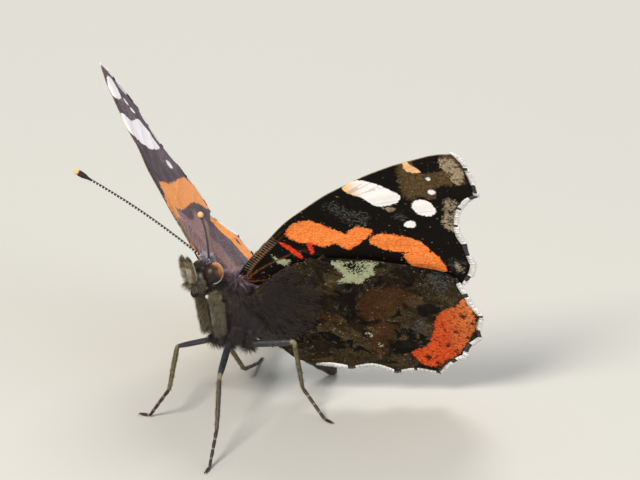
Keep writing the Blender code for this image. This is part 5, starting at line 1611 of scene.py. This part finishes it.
def legFinish():
    # scaled chitin: fine flat scales, a dull shine along the limb
    finish, tree, shader = newFinish("scaled leg chitin")
    part = addNode(tree, "ShaderNodeAttribute", attribute_name="part").outputs["Fac"]
    stripe = addNode(tree, "ShaderNodeAttribute", attribute_name="stripe").outputs["Fac"]
    where = addNode(tree, "ShaderNodeTexCoord").outputs["Object"]
    cells = addNode(tree, "ShaderNodeTexVoronoi", {"Scale": 9500.0, "Vector": where})
    grain = addNode(tree, "ShaderNodeSeparateColor", {0: cells.outputs["Color"]})

    def tones(key, channel):
        low, high = legLook[key]
        return addNode(tree, "ShaderNodeMix", {0: grain.outputs[channel], 6: linear(low), 7: linear(high)},
                       data_type="RGBA").outputs[2]

    def over(low, high, colour, added):
        factor = addNode(tree, "ShaderNodeMapRange", {0: part, 1: low, 2: high}).outputs[0]
        return addNode(tree, "ShaderNodeMix", {0: factor, 6: colour, 7: added}, data_type="RGBA").outputs[2]

    colour = over(0.97, 1.0, tones("femurTones", 0), tones("tibiaTones", 1))
    dark = addNode(tree, "ShaderNodeMapRange", {0: stripe, 1: 0.55, 2: 0.8, 4: 0.7}).outputs[0]
    onTibia = addNode(tree, "ShaderNodeMapRange", {0: part, 1: 1.0, 2: 1.1}).outputs[0]
    dark = addNode(tree, "ShaderNodeMath", {0: dark, 1: onTibia}, operation="MULTIPLY").outputs[0]
    colour = addNode(tree, "ShaderNodeMix", {0: dark, 6: colour, 7: tones("tarsusTones", 2)},
                     data_type="RGBA").outputs[2]
    colour = over(2.0, 2.15, colour, tones("tarsusTones", 0))
    joint = addNode(tree, "ShaderNodeMath", {0: part}, operation="FRACT").outputs[0]
    ring = addNode(tree, "ShaderNodeMapRange", {0: joint, 1: 0.16, 2: 0.08}).outputs[0]
    onTarsus = addNode(tree, "ShaderNodeMath", {0: part, 1: 2.4}, operation="GREATER_THAN").outputs[0]
    ring = addNode(tree, "ShaderNodeMath", {0: ring, 1: onTarsus}, operation="MULTIPLY").outputs[0]
    colour = addNode(tree, "ShaderNodeMix", {0: ring, 6: colour, 7: linear(legLook["ring"])},
                     data_type="RGBA").outputs[2]
    away = addNode(tree, "ShaderNodeMath", {0: part, 1: 0.995}, operation="SUBTRACT").outputs[0]
    away = addNode(tree, "ShaderNodeMath", {0: away}, operation="ABSOLUTE").outputs[0]
    knee = addNode(tree, "ShaderNodeMapRange", {0: away, 1: 0.075, 2: 0.04}).outputs[0]
    colour = addNode(tree, "ShaderNodeMix", {0: knee, 6: colour, 7: linear(legLook["knee"])},
                     data_type="RGBA").outputs[2]
    tree.links.new(colour, shader.inputs["Base Color"])
    shader.inputs["Roughness"].default_value = 0.48
    bump = addNode(tree, "ShaderNodeBump", {"Strength": 0.4, "Distance": 0.00002,
                                            "Height": cells.outputs["Distance"]})
    tree.links.new(bump.outputs[0], shader.inputs["Normal"])
    return finish


legChitin = legFinish()
spineRoots = {key: [] for key in ("at", "lie", "rise", "size", "tint", "place")}


def makeLeg(name):
    look = legLook
    _, hip, knee, ankle, foot = (np.array(p, float) for p in legPlans[name])
    tipGround = np.array([foot[0], foot[1], look["footHeight"]])
    lead = tipGround - bodyToGround(ankle)
    lead[2] = 0
    lead = unit(lead)
    heel, tip = groundToBody(tipGround - lead * look["footLength"]), groundToBody(tipGround)
    stops = [hip, knee, ankle, heel, tip]
    path, radii, part = [], [], []
    tarsusLength = np.linalg.norm(heel - ankle) + np.linalg.norm(tip - heel)
    done = 0.0
    for k, (start, end) in enumerate(zip(stops, stops[1:])):
        length = np.linalg.norm(end - start)
        count = max(4, round(length / look["step"]))
        for share in np.arange(count) / count:
            path.append(start + (end - start) * share)
            if k < 2:
                profile = look["femur" if k == 0 else "tibia"]
                radii.append(np.interp(share, *zip(*profile)) * (look["slim"].get(name, 1.0) if k == 0 else 1.0))
                part.append(k + share * 0.999)
            else:
                along = (done + length * share) / tarsusLength
                bulge = 0.88 + 0.2 * math.sin(math.pi * ((along * 5) % 1)) ** 0.7
                radii.append(np.interp(along, *zip(*look["tarsus"])) * bulge)
                part.append(2 + along * 5)
        if k >= 2:
            done += length
    path.append(tip)
    radii.append(0.09)
    part.append(6.99)
    # corners are eased so that the limb bends without a crease
    path = np.array(path)
    for _ in range(2):
        path[1:-1] = 0.25 * path[:-2] + 0.5 * path[1:-1] + 0.25 * path[2:]
    points, faces = limb(path, radii, look["sides"])
    ground = bodyToGround(points)
    ground[:, 2] = np.maximum(ground[:, 2], 0.0)
    points = (ground - (0, 0, stance["centre"][2])) @ bodyTurn
    parts = [(points, faces)]
    sideways = np.cross(lead, (0, 0, 1.0))
    for way in (-1, 1):  # two curved claws
        base, aside = bodyToGround(tip) - lead * 0.08, sideways * way
        claw = [base, base + lead * 0.16 + aside * 0.07 + (0, 0, 0.05),
                base + lead * 0.27 + aside * 0.1 + (0, 0, -0.04), base + lead * 0.3 + aside * 0.1 - (0, 0, 0.13)]
        claw = np.array([groundToBody(np.maximum(p, (-99, -99, 0.02))) for p in claw])
        parts.append(limb(claw, (0.06, 0.05, 0.035, 0.012), 8))
    total, sides = len(points), look["sides"]
    allPoints, allFaces = joined(parts)
    mesh = outwardMesh("leg_" + name, bodyToRow(allPoints), allFaces)
    partValues = np.concatenate([np.repeat(part, sides), np.full(len(allPoints) - total, 6.6)])
    stripe = np.concatenate([np.tile(0.5 + 0.5 * np.sin(np.arange(sides) * 2 * math.pi / sides), len(path)),
                             np.zeros(len(allPoints) - total)])
    setAttribute(mesh, "part", "FLOAT", partValues)
    setAttribute(mesh, "stripe", "FLOAT", stripe)
    nodes = [f"{piece}_{name}" for piece in ("femur", "tibia", "tarsus")]
    makePiece("leg_" + name, mesh, [legChitin], nodes)
    # spines in rows along the tibia and tarsus
    rng = np.random.default_rng(60 + len(spineRoots["at"]))
    rings = points.reshape(len(path), sides, 3)
    steps = unit(np.gradient(path, axis=0))
    for k in range(len(path)):
        if not 1.05 < part[k] < 6.8:
            continue
        for s in rng.choice(sides, 3 if part[k] < 2 else 2, replace=False):
            out = unit(rings[k, s] - path[k])
            size = rng.uniform(*look["spineLengths"]["tibia" if part[k] < 2 else "tarsus"])
            lie = unit(steps[k] * 1.0 + out * 0.9)
            tip2 = bodyToGround(rings[k, s] + lie * size)
            if tip2[2] < 0.01:
                continue
            spineRoots["at"].append(rings[k, s] - out * 0.02)
            spineRoots["lie"].append(lie)
            spineRoots["rise"].append(out)
            spineRoots["size"].append(size)
            spineRoots["tint"].append(linear(look["spineHex"]))
            spineRoots["place"].append((0.02 + 0.95 * k / len(path), 0.02 + 0.95 * s / sides, 0))


for name in legPlans:
    makeLeg(name)
made = {key: np.array(values, float) for key, values in spineRoots.items()}
made["at"] = bodyToRow(made["at"])
made["lie"], made["rise"] = made["lie"] @ bodyTurn.T, made["rise"] @ bodyTurn.T
made["size"] = made["size"] * mm
makeTufts("leg_spines", made, "spine", 0.05, spineFinish, 61)
print("legs made")


for shape in tuftShapes.values():
    bpy.data.objects.remove(shape)
